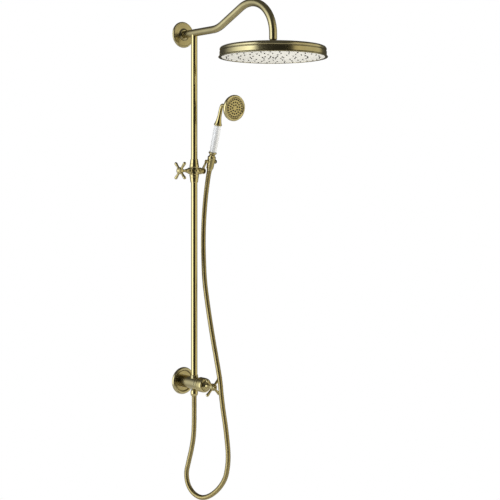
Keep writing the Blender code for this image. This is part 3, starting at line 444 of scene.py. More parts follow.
# turned shapes: points are (radius, height, corner rounding) in millimetres
def roundCorners(points, steps=4, lead=0.5):
    corners = [Vector(point[:2]) for point in points]
    count = len(corners)
    onAxis = corners[0].x == 0 and corners[-1].x == 0
    area = sum(a.x * b.y - b.x * a.y for a, b in zip(corners, corners[1:] + corners[:1]))
    rows = []
    for index, here in enumerate(corners):
        rounding = points[index][2] if len(points[index]) > 2 else 0
        atEnd = onAxis and index in (0, count - 1)
        before = corners[index - 1] - here
        after = corners[(index + 1) % count] - here
        if atEnd or not rounding or before.angle(after) > 3.1:
            rows.append((here.x, here.y, 0, 0))
            continue
        bend = before.angle(after)
        reach = min(rounding / math.tan(bend / 2), 0.42 * before.length, 0.42 * after.length)
        radius = reach * math.tan(bend / 2)
        center = here + (before.normalized() + after.normalized()).normalized() * radius / math.sin(bend / 2)
        outer = (before.x * after.y - before.y * after.x) * area < 0
        start = here + before.normalized() * reach - center
        end = here + after.normalized() * reach - center
        first = math.atan2(start.y, start.x)
        sweep = (math.atan2(end.y, end.x) - first + math.pi) % (2 * math.pi) - math.pi
        easeIn = center + start + before.normalized() * min(lead, 0.4 * before.length - 0.9 * reach + 0.01)
        easeOut = center + end + after.normalized() * min(lead, 0.4 * after.length - 0.9 * reach + 0.01)
        if 0.4 * before.length > reach:
            rows.append((easeIn.x, easeIn.y, 0, 0))
        for step in range(steps + 1):
            turn = first + sweep * step / steps
            spot = center + Vector((math.cos(turn), math.sin(turn))) * radius
            rows.append((spot.x, spot.y, int(outer), int(not outer)))
        if 0.4 * after.length > reach:
            rows.append((easeOut.x, easeOut.y, 0, 0))
    if not onAxis:
        rows.append(rows[0])
    return rows


def turnedShell(points, matrix, sides=96, steps=4):
    rows = roundCorners(points, steps)
    closed = points[0][0] != 0
    shell = {"spots": [], "faces": [], "wear": [], "creviceShade": [], "grain": []}
    rings = []
    walked = 0.0
    for index, (radius, height, wear, creviceShade) in enumerate(rows):
        if index:
            walked += math.dist(rows[index][:2], rows[index - 1][:2])
        if closed and index == len(rows) - 1:
            rings.append(rings[0])
            continue
        ring = []
        for side in range(sides if radius > 1e-6 else 1):
            turn = 2 * math.pi * side / sides
            across = Vector((math.cos(turn), math.sin(turn), 0))
            ring.append(len(shell["spots"]))
            shell["spots"].append(matrix @ (across * radius * mm + Vector((0, 0, height * mm))))
            shell["wear"].append(wear)
            # inner corners carry the mask for painted shade in the hollows
            shell["creviceShade"].append(creviceShade)
            shell["grain"].append((across.x * 0.02, across.y * 0.02, walked * mm))
        rings.append(ring)
    for low, high in zip(rings, rings[1:]):
        for side in range(sides):
            after = (side + 1) % sides
            face = [
                low[side % len(low)], low[after % len(low)], high[after % len(high)],
                high[side % len(high)],
            ]
            face = list(dict.fromkeys(face))
            if len(face) > 2:
                shell["faces"].append(face)
    return shell


def makePiece(name, shells, material, body, nodes=()):
    parts = {"spots": [], "faces": [], "wear": [], "creviceShade": [], "grain": []}
    for shell in shells:
        offset = len(parts["spots"])
        parts["faces"] += [[offset + corner for corner in face] for face in shell["faces"]]
        for key in ("spots", "wear", "creviceShade", "grain"):
            parts[key] += shell[key]
    mesh = bpy.data.meshes.new(name)
    mesh.from_pydata(parts["spots"], [], parts["faces"])
    for key in ("wear", "creviceShade"):
        mesh.attributes.new(key, "FLOAT", "POINT").data.foreach_set("value", parts[key])
    flat = [number for spot in parts["grain"] for number in spot]
    mesh.attributes.new("grain", "FLOAT_VECTOR", "POINT").data.foreach_set("vector", flat)
    shape = bmesh.new()
    shape.from_mesh(mesh)
    bmesh.ops.recalc_face_normals(shape, faces=shape.faces)
    shape.to_mesh(mesh)
    shape.free()
    mesh.shade_smooth()
    mesh.materials.append(material)
    piece = bpy.data.objects.new(name, mesh)
    bpy.context.scene.collection.objects.link(piece)
    finishPiece(piece, body, nodes)
    return piece


def makeTurned(name, points, matrix, sides, material, body, node):
    makePiece(name, [turnedShell(points, matrix, sides)], material, body, [node])


def finishPiece(piece, body, nodes):
    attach(piece, body)
    if nodes:
        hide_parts(*nodes)


def at(place, way="up"):
    return Matrix.Translation(Vector(place)) @ turns[way]


# geometry nodes helpers
def startTree(name, inputs):
    tree = bpy.data.node_groups.new(name, "GeometryNodeTree")
    tree.interface.new_socket("Geometry", in_out="INPUT", socket_type="NodeSocketGeometry")
    for label, kind, value in inputs:
        socket = tree.interface.new_socket(label, in_out="INPUT", socket_type=kind)
        if value is not None:
            socket.default_value = value
    tree.interface.new_socket("Geometry", in_out="OUTPUT", socket_type="NodeSocketGeometry")
    return tree, addNode(tree, "NodeGroupInput", (-1200, 0)), addNode(tree, "NodeGroupOutput", (1400, 0))


def bakeTree(holder, tree, values, name):
    # puts the tree on its holder, sets the inputs and keeps the result as a plain mesh
    modifier = holder.modifiers.new(tree.name, "NODES")
    modifier.node_group = tree
    for item in tree.interface.items_tree:
        if item.item_type == "SOCKET" and item.in_out == "INPUT" and item.name in values:
            modifier[item.identifier] = values[item.name]
    bpy.context.view_layer.update()
    graph = bpy.context.evaluated_depsgraph_get()
    mesh = bpy.data.meshes.new_from_object(holder.evaluated_get(graph), depsgraph=graph)
    mesh.name = name
    piece = bpy.data.objects.new(name, mesh)
    bpy.context.scene.collection.objects.link(piece)
    holder.modifiers.remove(modifier)
    bpy.data.objects.remove(holder)
    return piece


def makePathCurve(name, spots, radii=None):
    curve = bpy.data.curves.new(name, "CURVE")
    curve.dimensions = "3D"
    spline = curve.splines.new("POLY")
    spline.points.add(len(spots) - 1)
    for index, (point, spot) in enumerate(zip(spline.points, spots)):
        point.co = (*spot, 1)
        point.radius = radii[index] if radii else 1.0
    holder = bpy.data.objects.new(name, curve)
    bpy.context.scene.collection.objects.link(holder)
    return holder


def joinEnds(tree, *pairs):
    for output, socket in pairs:
        tree.links.new(output, socket)


def endTree(tree, start, end, geometry):
    smooth = addNode(tree, "GeometryNodeSetShadeSmooth", (900, 0))
    real = addNode(tree, "GeometryNodeRealizeInstances", (1050, 0))
    paint = addNode(tree, "GeometryNodeSetMaterial", (1200, 0))
    joinEnds(
        tree,
        (geometry, smooth.inputs["Geometry"]),
        (smooth.outputs["Geometry"], real.inputs["Geometry"]),
        (real.outputs["Geometry"], paint.inputs["Geometry"]),
        (start.outputs["Finish"], paint.inputs["Material"]),
        (paint.outputs["Geometry"], end.inputs["Geometry"]),
    )


def storeValue(tree, geometry, label, value, place, kind="FLOAT"):
    node = addNode(tree, "GeometryNodeStoreNamedAttribute", place, data_type=kind, domain="POINT")
    node.inputs["Name"].default_value = label
    joinEnds(tree, (geometry, node.inputs["Geometry"]), (value, node.inputs["Value"]))
    return node.outputs["Geometry"]


def makeTubeTree(name, ribbed=False):
    # sweeps a circle along the path; a ribbed tube's radius rises and falls along its length
    inputs = [
        ("Radius", "NodeSocketFloat", 0.01),
        ("Spacing", "NodeSocketFloat", 0.004),
        ("Sides", "NodeSocketInt", 48),
        ("Finish", "NodeSocketMaterial", None),
    ]
    if ribbed:
        inputs.insert(1, ("Rib Depth", "NodeSocketFloat", 0.06))
        inputs.insert(2, ("Points In Rib", "NodeSocketInt", 4))
    tree, start, end = startTree(name, inputs)
    spread = addNode(tree, "GeometryNodeResampleCurve", (-950, 0), mode="LENGTH")
    joinEnds(
        tree, (start.outputs["Geometry"], spread.inputs["Curve"]),
        (start.outputs["Spacing"], spread.inputs["Length"]),
    )
    path = spread.outputs["Curve"]
    along = addNode(tree, "GeometryNodeSplineParameter", (-950, -250))
    if ribbed:
        number = addNode(tree, "GeometryNodeInputIndex", (-950, -400))
        beat = addNode(tree, "ShaderNodeMath", (-800, -400), operation="MODULO")
        joinEnds(tree, (number.outputs[0], beat.inputs[0]), (start.outputs["Points In Rib"], beat.inputs[1]))
        groove = addNode(tree, "ShaderNodeMath", (-650, -400), operation="LESS_THAN")
        groove.inputs[1].default_value = 0.5
        tree.links.new(beat.outputs[0], groove.inputs[0])
        drop = addNode(tree, "ShaderNodeMath", (-500, -400), operation="MULTIPLY")
        joinEnds(tree, (groove.outputs[0], drop.inputs[0]), (start.outputs["Rib Depth"], drop.inputs[1]))
        size = addNode(tree, "ShaderNodeMath", (-350, -400), operation="SUBTRACT")
        size.inputs[0].default_value = 1.0
        tree.links.new(drop.outputs[0], size.inputs[1])
        shaped = addNode(tree, "GeometryNodeSetCurveRadius", (-650, 0))
        joinEnds(tree, (path, shaped.inputs["Curve"]), (size.outputs[0], shaped.inputs["Radius"]))
        # the rib grooves carry the mask for painted shade
        path = storeValue(tree, shaped.outputs["Curve"], "creviceShade", groove.outputs[0], (-500, 0))
        crest = addNode(tree, "ShaderNodeMath", (-500, -550), operation="COMPARE")
        crest.inputs[1].default_value = 2.0
        crest.inputs[2].default_value = 0.5
        tree.links.new(beat.outputs[0], crest.inputs[0])
        path = storeValue(tree, path, "wear", crest.outputs[0], (-350, 0))
    path = storeValue(tree, path, "run", along.outputs["Length"], (-150, 0))
    circle = addNode(tree, "GeometryNodeCurvePrimitiveCircle", (-350, -700), mode="RADIUS")
    joinEnds(
        tree, (start.outputs["Sides"], circle.inputs["Resolution"]),
        (start.outputs["Radius"], circle.inputs["Radius"]),
    )
    spot = addNode(tree, "GeometryNodeInputPosition", (-350, -850))
    outline = storeValue(
        tree, circle.outputs["Curve"], "across", spot.outputs[0], (-150, -700), "FLOAT_VECTOR",
    )
    sweep = addNode(tree, "GeometryNodeCurveToMesh", (100, 0))
    sweep.inputs["Fill Caps"].default_value = True
    joinEnds(tree, (path, sweep.inputs["Curve"]), (outline, sweep.inputs["Profile Curve"]))
    if "Scale" in sweep.inputs:
        width = addNode(tree, "GeometryNodeInputRadius", (-150, -350))
        tree.links.new(width.outputs[0], sweep.inputs["Scale"])
    named = {}
    for label, kind in (("across", "FLOAT_VECTOR"), ("run", "FLOAT")):
        named[label] = addNode(tree, "GeometryNodeInputNamedAttribute", (100, -400), data_type=kind)
        named[label].inputs["Name"].default_value = label
    split = addNode(tree, "ShaderNodeSeparateXYZ", (300, -400))
    merge = addNode(tree, "ShaderNodeCombineXYZ", (500, -400))
    joinEnds(
        tree,
        (named["across"].outputs["Attribute"], split.inputs[0]),
        (split.outputs["X"], merge.inputs["X"]),
        (split.outputs["Y"], merge.inputs["Y"]),
        (named["run"].outputs["Attribute"], merge.inputs["Z"]),
    )
    tube = storeValue(tree, sweep.outputs["Mesh"], "grain", merge.outputs[0], (700, 0), "FLOAT_VECTOR")
    endTree(tree, start, end, tube)
    return tree


def smoothRoute(spots, steps):
    # an even run of points on a smooth curve through the given ones
    padded = [2 * spots[0] - spots[1]] + spots + [2 * spots[-1] - spots[-2]]
    fine = []
    for a, b, c, d in zip(padded, padded[1:], padded[2:], padded[3:]):
        for step in range(steps):
            t = step / steps
            square = (2 * a - 5 * b + 4 * c - d) * t**2
            cube = (3 * b - a - 3 * c + d) * t**3
            fine.append(0.5 * (2 * b + (c - a) * t + square + cube))
    return fine + [spots[-1]]


tubeTree = makeTubeTree("sweptTube")
ribTree = makeTubeTree("ribbedTube", ribbed=True)

# hose: right, out from the wall and up, in metres, from the handset down and back to the valve
hose = {
    "radius": 0.00725,
    "ribDepth": 0.075,
    "ribSpacing": 0.00085,
    "sides": 22,
    "length": 1.38,
    "route": [
        (0.044, 0.074, 0.633), (0.044, 0.0692, 0.617), (0.0438, 0.062, 0.584), (0.043, 0.056, 0.545),
        (0.040, 0.0525, 0.483), (0.0365, 0.0545, 0.422), (0.032, 0.062, 0.362), (0.0262, 0.0745, 0.302),
        (0.021, 0.093, 0.243), (0.0162, 0.1135, 0.184), (0.0122, 0.134, 0.127), (0.0095, 0.1515, 0.079),
        (0.008, 0.1685, 0.023), (0.008, 0.1755, -0.021), (0.0105, 0.181, -0.065), (0.0137, 0.1875, -0.110),
        (0.0162, 0.1925, -0.155), (0.0174, 0.195, -0.190), (0.0176, 0.1925, -0.224),
        (0.0168, 0.1815, -0.262), (0.0126, 0.1572, -0.296), (0.0065, 0.123, -0.323),
        (0.0005, 0.0895, -0.334), (-0.005, 0.059, -0.326), (-0.0083, 0.038, -0.304),
        (-0.0082, 0.030, -0.272), (-0.0058, 0.038, -0.235), (-0.0034, 0.048, -0.198),
        (-0.0014, 0.055, -0.160), (-0.0004, 0.057, -0.120), (0, 0.057, -0.078), (0, 0.057, -0.0393),
    ],
}


def makeHose(spec):
    spots = [Vector((right, -out, up)) for right, out, up in reversed(spec["route"])]
    fine = smoothRoute(spots, 14)
    values = {
        "Radius": spec["radius"],
        "Rib Depth": spec["ribDepth"],
        "Points In Rib": 4,
        "Spacing": spec["ribSpacing"],
        "Sides": spec["sides"],
        "Finish": hoseBrass,
    }
    piece = bakeTree(makePathCurve("hosePath", fine), ribTree, values, "metalHose")
    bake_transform(piece)
    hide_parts("shower_hose")


makeHose(hose)
print("hose made")

# places that the frame gives
armLow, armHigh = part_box("upper_wall_flange")
riserLow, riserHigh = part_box("riser_pipe")
armLevel = (armLow.z + armHigh.z) / 2
riserPlace = Vector((0, (riserLow.y + riserHigh.y) / 2, 0))
valvePlace = Vector(joints["valve_turn"]["pos_m"])
swivelPlace = Vector(joints["head_spin"]["pos_m"])
sliderPlace = Vector(joints["slider_swivel"]["pos_m"])
clampPlace = Vector(joints["clamp_turn"]["pos_m"])
ballPlace = Vector(joints["link_tilt"]["pos_m"])
pivotPlace = Vector(joints["cradle_tilt"]["pos_m"])
handsetPlace = Vector(joints["handset_twist"]["pos_m"])
handsetAxis = Vector(joints["handset_twist"]["axis"]).normalized()
handsetTilt = math.atan2(-handsetAxis.y, handsetAxis.z)
handsetFrame = Matrix.Translation(handsetPlace) @ Matrix.Rotation(handsetTilt, 4, "X")

# wall flanges
lowerFlange = {
    "profile": [
        (18.55, 0), (40.5, 0, 0.3), (40.5, 2.7, 1.2), (38.9, 6.4, 2.4), (36, 8, 2.4), (32.7, 7.3, 1.6),
        (30.4, 4.3, 1.0), (29.4, 3.6, 0.5), (18.55, 3.6, 0.2),
    ],
}
upperFlange = {
    "profile": [
        (11.3, 0), (39, 0, 0.3), (39, 2.4, 0.9), (37.6, 4.8, 0.9), (35, 5.75, 0.7), (33.4, 5.2, 0.4),
        (18.3, 7.0, 1.5), (13.4, 10.4, 1.0), (11.3, 10.4, 0.3),
    ],
}


def makeFlanges():
    place = at((0, 0, 0), "front")
    makeTurned("lowerFlange", lowerFlange["profile"], place, 128, satinBrass, "root", "lower_wall_flange")
    place = at((0, 0, armLevel), "front")
    makeTurned("upperFlange", upperFlange["profile"], place, 128, satinBrass, "root", "upper_wall_flange")


makeFlanges()

# riser and its collar
riser = {"radius": 9.5, "bottom": 16.5, "topUnderArm": -4.0, "collarFoot": 21.3}


def makeRiser(spec):
    top = armLevel / mm + spec["topUnderArm"]
    radius = spec["radius"]
    tube = [(0, spec["bottom"]), (radius, spec["bottom"], 0.3), (radius, top, 0.3), (0, top)]
    makeTurned("riserTube", tube, at(riserPlace), 96, tubeBrass, "root", "riser_pipe")
    foot = spec["collarFoot"]
    collar = [
        (radius + 0.3, foot), (radius + 2, foot, 0.3), (radius + 2, foot + 1.7, 0.6),
        (radius + 0.9, foot + 3.7, 0.5),
        (radius + 0.3, foot + 3.7, 0.2),
    ]
    makeTurned("riserCollar", collar, at(riserPlace), 96, polishedBrass, "root", "riser_collar")


makeRiser(riser)

# gooseneck arm, drawn by its own rule: level, soft bend, incline, arch and drop
arm = {
    "radius": 0.011,
    "wallGap": 0.002,
    "reach": -swivelPlace.y,
    "bendRadius": 0.100,
    "incline": math.radians(25),
    "archRadius": 0.0965,
    "archRise": 0.0573,
    "drop": 0.0545,
    "sides": 64,
    "spacing": 0.003,
}


def armPath(spec):
    def bow(center, radius, first, last, steps):
        turn = [first + (last - first) * step / steps for step in range(steps + 1)]
        return [
            Vector((0, -center[0] - radius * math.cos(a), center[1] + radius * math.sin(a))) for a in turn
        ]

    slope = spec["incline"]
    archOut = spec["reach"] - spec["archRadius"]
    archUp = armLevel + spec["archRise"] - spec["archRadius"]
    topOut = archOut - spec["archRadius"] * math.sin(slope)
    topUp = archUp + spec["archRadius"] * math.cos(slope)
    corner = topOut - (topUp - armLevel) / math.tan(slope)
    bendOut = corner - spec["bendRadius"] * math.tan(slope / 2)
    bend = (bendOut, armLevel + spec["bendRadius"])
    spots = [Vector((0, -spec["wallGap"], armLevel))]
    spots += bow(bend, spec["bendRadius"], -math.pi / 2, -math.pi / 2 + slope, 16)
    spots += bow((archOut, archUp), spec["archRadius"], math.pi / 2 + slope, 0, 64)
    return spots + [Vector((0, -spec["reach"], armLevel - spec["drop"]))]


def makeArm(spec):
    values = {
        "Radius": spec["radius"], "Spacing": spec["spacing"], "Sides": spec["sides"], "Finish": satinBrass,
    }
    piece = bakeTree(makePathCurve("armPath", armPath(spec)), tubeTree, values, "gooseneckArm")
    finishPiece(piece, "root", ["shower_arm"])


makeArm(arm)
print("wall side, riser and arm made")

# valve
valve = {
    "barrel": [
        (8, 0.8), (18.25, 0.8, 0.2), (18.25, 76.5, 0.3), (17.4, 77.2, 0.3), (17.4, 78.6, 0.3),
        (18.25, 79.3, 0.3), (18.25, 84, 0.6), (12.9, 84, 0.3), (12.9, 30), (8, 30),
    ],
    "riserBoss": [
        (0, 10), (12.6, 10), (11.5, 19.4, 1.2), (11.5, 21, 0.4), (9.8, 21, 0.2), (9.8, 14.5), (0, 14.5),
    ],
    "spigot": [(0, -26), (6.5, -26, 0.4), (6.5, -18.6, 0.5), (8.4, -17, 1.0), (8.4, -12), (0, -12)],
    "bonnet": [
        (11.6, 84.6), (19.9, 84.6, 0.4), (21.5, 86.0, 0.8), (21.5, 89.6, 0.6), (20.2, 90.6, 0.5),
        (20.2, 92.2, 0.5), (21.5, 93.3, 0.6), (21.5, 105.6, 3), (20.6, 111.1, 2.4), (18.2, 113.8, 1.6),
        (15.5, 113.6, 1.2), (12.0, 117.1, 3), (8.7, 121.6, 2), (7.2, 124.6, 0.8), (6.5, 127.6, 0.4),
        (4.6, 127.6, 0.3), (4.6, 119.6), (11.6, 111.6),
    ],
    "outletNut": [
        (6.8, -18.6), (8.6, -19.0, 0.5), (10.2, -22.0, 2), (11.0, -27.0, 3), (11.0, -30.5, 3),
        (10.2, -35.0, 2), (8.6, -38.0, 1), (7.4, -39.0, 0.4), (3.5, -39, 0.2), (3.5, -28.6), (6.8, -28.6),
    ],
}


def makeValve(spec):
    place = at((0, 0, 0), "front")
    shells = [
        turnedShell(spec["barrel"], place, 112),
        turnedShell(spec["riserBoss"], at(riserPlace), 96),
        turnedShell(spec["spigot"], at(riserPlace), 80),
    ]
    makePiece("valveBarrel", shells, satinBrass, "root", ["valve_body"])
    makeTurned("valveBonnet", spec["bonnet"], place, 112, polishedBrass, "root", "valve_bonnet")
    makeTurned("outletNut", spec["outletNut"], at(riserPlace), 96, polishedBrass, "root", "hose_outlet_nut")


makeValve(valve)

# cross handles: four waisted arms with round ends on a turned hub, and a domed button
crossHandle = {
    "arm": [
        (0, 0), (4.0, 0), (3.8, 9.5, 1), (3.6, 13.5, 4), (3.9, 21, 8), (4.7, 28.5, 4), (4.6, 31.2, 2.0),
        (3.0, 33.5, 1.4), (0, 34),
    ],
    "button": [(0, 5.7), (6.5, 5.7, 0.2), (6.5, 8.6, 0.4), (5.9, 9.9, 1.0), (3.2, 11.2, 4), (0, 11.4)],
}


def hubProfile(neckRadius, neckLength):
    return [
        (0, -neckLength), (neckRadius, -neckLength, 0.4), (neckRadius, -neckLength + 1.6, 0.4),
        (neckRadius - 1.0, -neckLength + 2.6, 0.5), (neckRadius - 0.8, -10.2, 1.0), (8.6, -6.2, 1.5),
        (10.5, -3.4, 1.2), (10.5, 4.6, 1.0), (9.3, 6.2, 0.6), (9.1, 7.4, 0.4), (8.0, 8.0, 0.4),
        (6.8, 7.7, 0.3), (6.8, 3), (0, 3),
    ]


def makeCrossHandle(name, place, way, neckRadius, neckLength, body, nodes):
    matrix = at(place, way)
    shells = [turnedShell(hubProfile(neckRadius, neckLength), matrix, 96)]
    for quarter in range(4):
        around = Matrix.Rotation(math.pi * (0.25 + 0.5 * quarter), 4, "Z")
        turn = around @ Matrix.Rotation(math.pi / 2, 4, "Y")
        shells.append(turnedShell(crossHandle["arm"], matrix @ turn, 40))
    makePiece(name, shells, polishedBrass, body, nodes[:1])
    button = turnedShell(crossHandle["button"], matrix, 64)
    makePiece(f"{name}Button", [button], polishedBrass, body, nodes[1:])


makeCrossHandle(
    "valveHandle", valvePlace, "front", 6.2, 18.8, "valve_handle", ["valve_cross_handle", "valve_handle_cap"]
)
print("valve made")

# rain head
rainHead = {
    "ballDrop": 8.5,
    "stem": [
        (2.5, 0.4), (3.7, 0.8), (6.6, 3.2, 2), (8.3, 6.6, 3), (8.5, 8.6, 3), (8.3, 10.4, 3), (6.6, 13.8, 2),
        (4.5, 15.7, 1), (4.5, 18.6, 0.5), (10.6, 19, 0.4), (11, 19.4, 0.4), (11, 20.2, 0.3), (9.2, 20.2),
        (9.2, 34), (2.5, 34),
    ],
    "nut": [
        (12.3, 0.3), (14.2, 0.3, 0.4), (14.4, 3, 0.6), (13.6, 9, 3), (11, 14.5, 3), (9.4, 17.3, 0.5),
        (8.2, 17.3, 0.3), (8.9, 9.1), (9.3, 7.6), (12.3, 7.6),
    ],
    "shell": [
        (14, -2), (14, 0, 0.3), (60, -0.15, 1), (130, -0.5, 10), (139.4, -1.0, 4), (143.9, -2.9, 2.4),
        (146.2, -6.2, 2.2), (146.6, -9, 1.4), (145.4, -11.6, 0.9), (143.6, -12.2, 0.4), (143.1, -7),
        (137.7, -2.6),
    ],
    "shellCore": [(4, -6), (4, -4), (10, -4), (10, 7.2), (12, 7.2), (12, 0), (14.05, -0.05), (14.05, -6)],
    "band": [
        (141.7, -12.5), (144.9, -12.5, 0.2), (145.1, -13.7, 0.3), (146.7, -14.6, 0.5), (146.7, -26.6, 1.4),
        (147.7, -27.6, 0.8), (149.7, -28.3, 0.5), (150, -29.3, 0.4), (149.2, -30.3, 0.4),
        (143.6, -30.3, 0.5), (142.7, -29.5, 0.3),
    ],
    "plate": [
        (0, -27.3), (141.4, -27.3, 0.2), (141.4, -29.3, 0.4), (139.6, -29.3, 0.2), (139.2, -28.9, 0.2),
        (137.6, -28.9, 0.2), (137.2, -29.3, 0.2), (0, -29.3),
    ],
    "nozzleLevel": -29.2,
    "nozzle": [(2.7, 0), (2.5, 0.5), (1.9, 0.55), (1.2, 2.5)],
    "rings": [(128, 32), (95, 27), (63, 15), (29, 10), (8, 4)],
}


def makeNozzleTree(name, rings, profile):
    # rings of points, each carrying one small nozzle that points down its own axis
    inputs = [("Sides", "NodeSocketInt", 10), ("Finish", "NodeSocketMaterial", None)]
    for index, (radius, count) in enumerate(rings):
        inputs.append((f"Ring {index + 1} Radius", "NodeSocketFloat", radius * mm))
        inputs.append((f"Ring {index + 1} Count", "NodeSocketInt", count))
    tree, start, end = startTree(name, inputs)
    points = addNode(tree, "GeometryNodeJoinGeometry", (-400, 0))
    for index in range(len(rings)):
        circle = addNode(tree, "GeometryNodeMeshCircle", (-900, -150 * index), fill_type="NONE")
        turn = addNode(tree, "GeometryNodeTransform", (-650, -150 * index))
        turn.inputs["Rotation"].default_value = (0, 0, 0.21 * index)
        joinEnds(
            tree,
            (start.outputs[f"Ring {index + 1} Count"], circle.inputs["Vertices"]),
            (start.outputs[f"Ring {index + 1} Radius"], circle.inputs["Radius"]),
            (circle.outputs["Mesh"], turn.inputs["Geometry"]),
            (turn.outputs["Geometry"], points.inputs["Geometry"]),
        )
    stack = addNode(tree, "GeometryNodeJoinGeometry", (0, -500))
    for index, ((lowRadius, low), (highRadius, high)) in enumerate(zip(profile, profile[1:])):
        if abs(high - low) < 0.2:
            continue
        cone = addNode(tree, "GeometryNodeMeshCone", (-500, -500 - 200 * index))
        cone.inputs["Radius Bottom"].default_value = lowRadius * mm
        cone.inputs["Radius Top"].default_value = highRadius * mm
        cone.inputs["Depth"].default_value = (high - low) * mm
        lift = addNode(tree, "GeometryNodeTransform", (-250, -500 - 200 * index))
        lift.inputs["Translation"].default_value = (0, 0, low * mm)
        joinEnds(
            tree,
            (start.outputs["Sides"], cone.inputs["Vertices"]),
            (cone.outputs["Mesh"], lift.inputs["Geometry"]),
            (lift.outputs["Geometry"], stack.inputs["Geometry"]),
        )
    scatter = addNode(tree, "GeometryNodeInstanceOnPoints", (300, 0))
    joinEnds(
        tree,
        (points.outputs["Geometry"], scatter.inputs["Points"]),
        (stack.outputs["Geometry"], scatter.inputs["Instance"]),
    )
    endTree(tree, start, end, scatter.outputs["Instances"])
    return tree


def makeNozzles(name, spec, matrix, body, sides):
    tree = makeNozzleTree(f"{name}Rings", spec["rings"], spec["nozzle"][:4])
    holder = bpy.data.objects.new(f"{name}Holder", bpy.data.meshes.new(name))
    bpy.context.scene.collection.objects.link(holder)
    piece = bakeTree(holder, tree, {"Sides": sides, "Finish": silicone}, name)
    piece.data.transform(matrix)
    piece.data.set_sharp_from_angle(angle=math.radians(40))
    finishPiece(piece, body, [])


def makeRainHead(spec):
    matrix = at(swivelPlace - Vector((0, 0, spec["ballDrop"] * mm)))
    makeTurned("headStem", spec["stem"], matrix, 80, polishedBrass, "root", "head_ball_stem")
    makeTurned("headNut", spec["nut"], matrix, 96, polishedBrass, "rain_head", "head_swivel_nut")
    shells = [turnedShell(spec["shell"], matrix, 224), turnedShell(spec["shellCore"], matrix, 64)]
    makePiece("headShell", shells, satinBrass, "rain_head", ["head_top_shell"])
    makeTurned("headBand", spec["band"], matrix, 224, satinBrass, "rain_head", "head_rim_band")
    makeTurned(
        "headPlate", spec["plate"], matrix, 192, creamPlate, "rain_head", "head_face_plate",
    )
    under = matrix @ Matrix.Translation((0, 0, spec["nozzleLevel"] * mm)) @ Matrix.Rotation(math.pi, 4, "X")
    makeNozzles("headNozzles", spec, under, "rain_head", 12)


makeRainHead(rainHead)
print("rain head made")

# slider on the riser
slider = {
    "body": [(11.9, -9.5, 0.2), (14.3, -9.5, 0.5), (14.3, 9.5, 0.5), (11.9, 9.5, 0.2)],
    "stub": [(0, 12.2), (8.2, 12.2), (9.2, 15.4, 0.4), (9.2, 17, 0.4), (0, 17)],
    "front": [(0, 9), (7.5, 9), (7.5, 15.2, 0.6), (6.2, 16.6, 0.8), (3, 17.8, 2), (0, 18)],
    "cone": [
        (11.9, 9.8), (13.7, 9.8, 0.3), (14.3, 11.3, 0.5), (14.1, 14.6, 3), (12.9, 21, 6), (11.7, 30.6, 2),
        (11.0, 34.8, 0.6), (9.8, 34.8, 0.2), (9.8, 16.1), (11.9, 16.1),
    ],
    "bell": [
        (3.6, 17.3), (9.6, 17.3, 0.5), (9.8, 19.3, 0.8), (8.0, 22.3, 2), (6.4, 27.3, 2), (5.6, 30.8, 0.6),
        (3.6, 30.8, 0.2),
    ],
    "cup": [
        (3.2, 17.3), (9.5, 17.3, 0.4), (10.4, 19.3, 0.8), (10.2, 24, 0.5), (7.4, 23.6, 0.3), (5.5, 21.8),
        (3.2, 20.5),
    ],
    "pivotScrew": [
        (0, 17.3), (2.9, 17.3), (2.9, 38, 0.2), (4.6, 38, 0.3), (4.4, 39.2, 0.5), (2.4, 40.1, 0.8),
        (0, 40.2),
    ],
}


def makeSlider(spec):
    up = at(sliderPlace)
    right = at(sliderPlace, "right")
    shells = [turnedShell(spec["body"], up, 96)]
    for side in (1, -1):
        # the stubs start in the body's wall, so that the bore stays open
        stub = [(radius, side * height, *rest) for radius, height, *rest in spec["stub"]]
        shells.append(turnedShell(stub, right, 80))
    shells.append(turnedShell(spec["front"], at(sliderPlace, "front"), 72))
    makePiece("sliderBody", shells, polishedBrass, "slider", ["slider_body"])
    makeTurned("upperCone", spec["cone"], up, 96, polishedBrass, "slider", "slider_upper_cone")
    down = [(point[0], -point[1], *point[2:]) for point in spec["cone"]]
    makeTurned("lowerCone", down, up, 96, polishedBrass, "slider", "slider_lower_cone")
    left = at(sliderPlace, "left")
    makeTurned("clampBell", spec["bell"], left, 80, polishedBrass, "slider", "clamp_bell")
    makeTurned("swivelCup", spec["cup"], right, 80, polishedBrass, "slider", "swivel_cup")
    makeTurned("ballScrew", spec["pivotScrew"], right, 64, polishedBrass, "slider", "link_pivot_screw")


makeSlider(slider)
makeCrossHandle(
    "clampHandle", clampPlace, "left", 5.0, 20.6, "clamp_handle", ["clamp_cross_handle", "clamp_handle_cap"]
)
print("slider made")

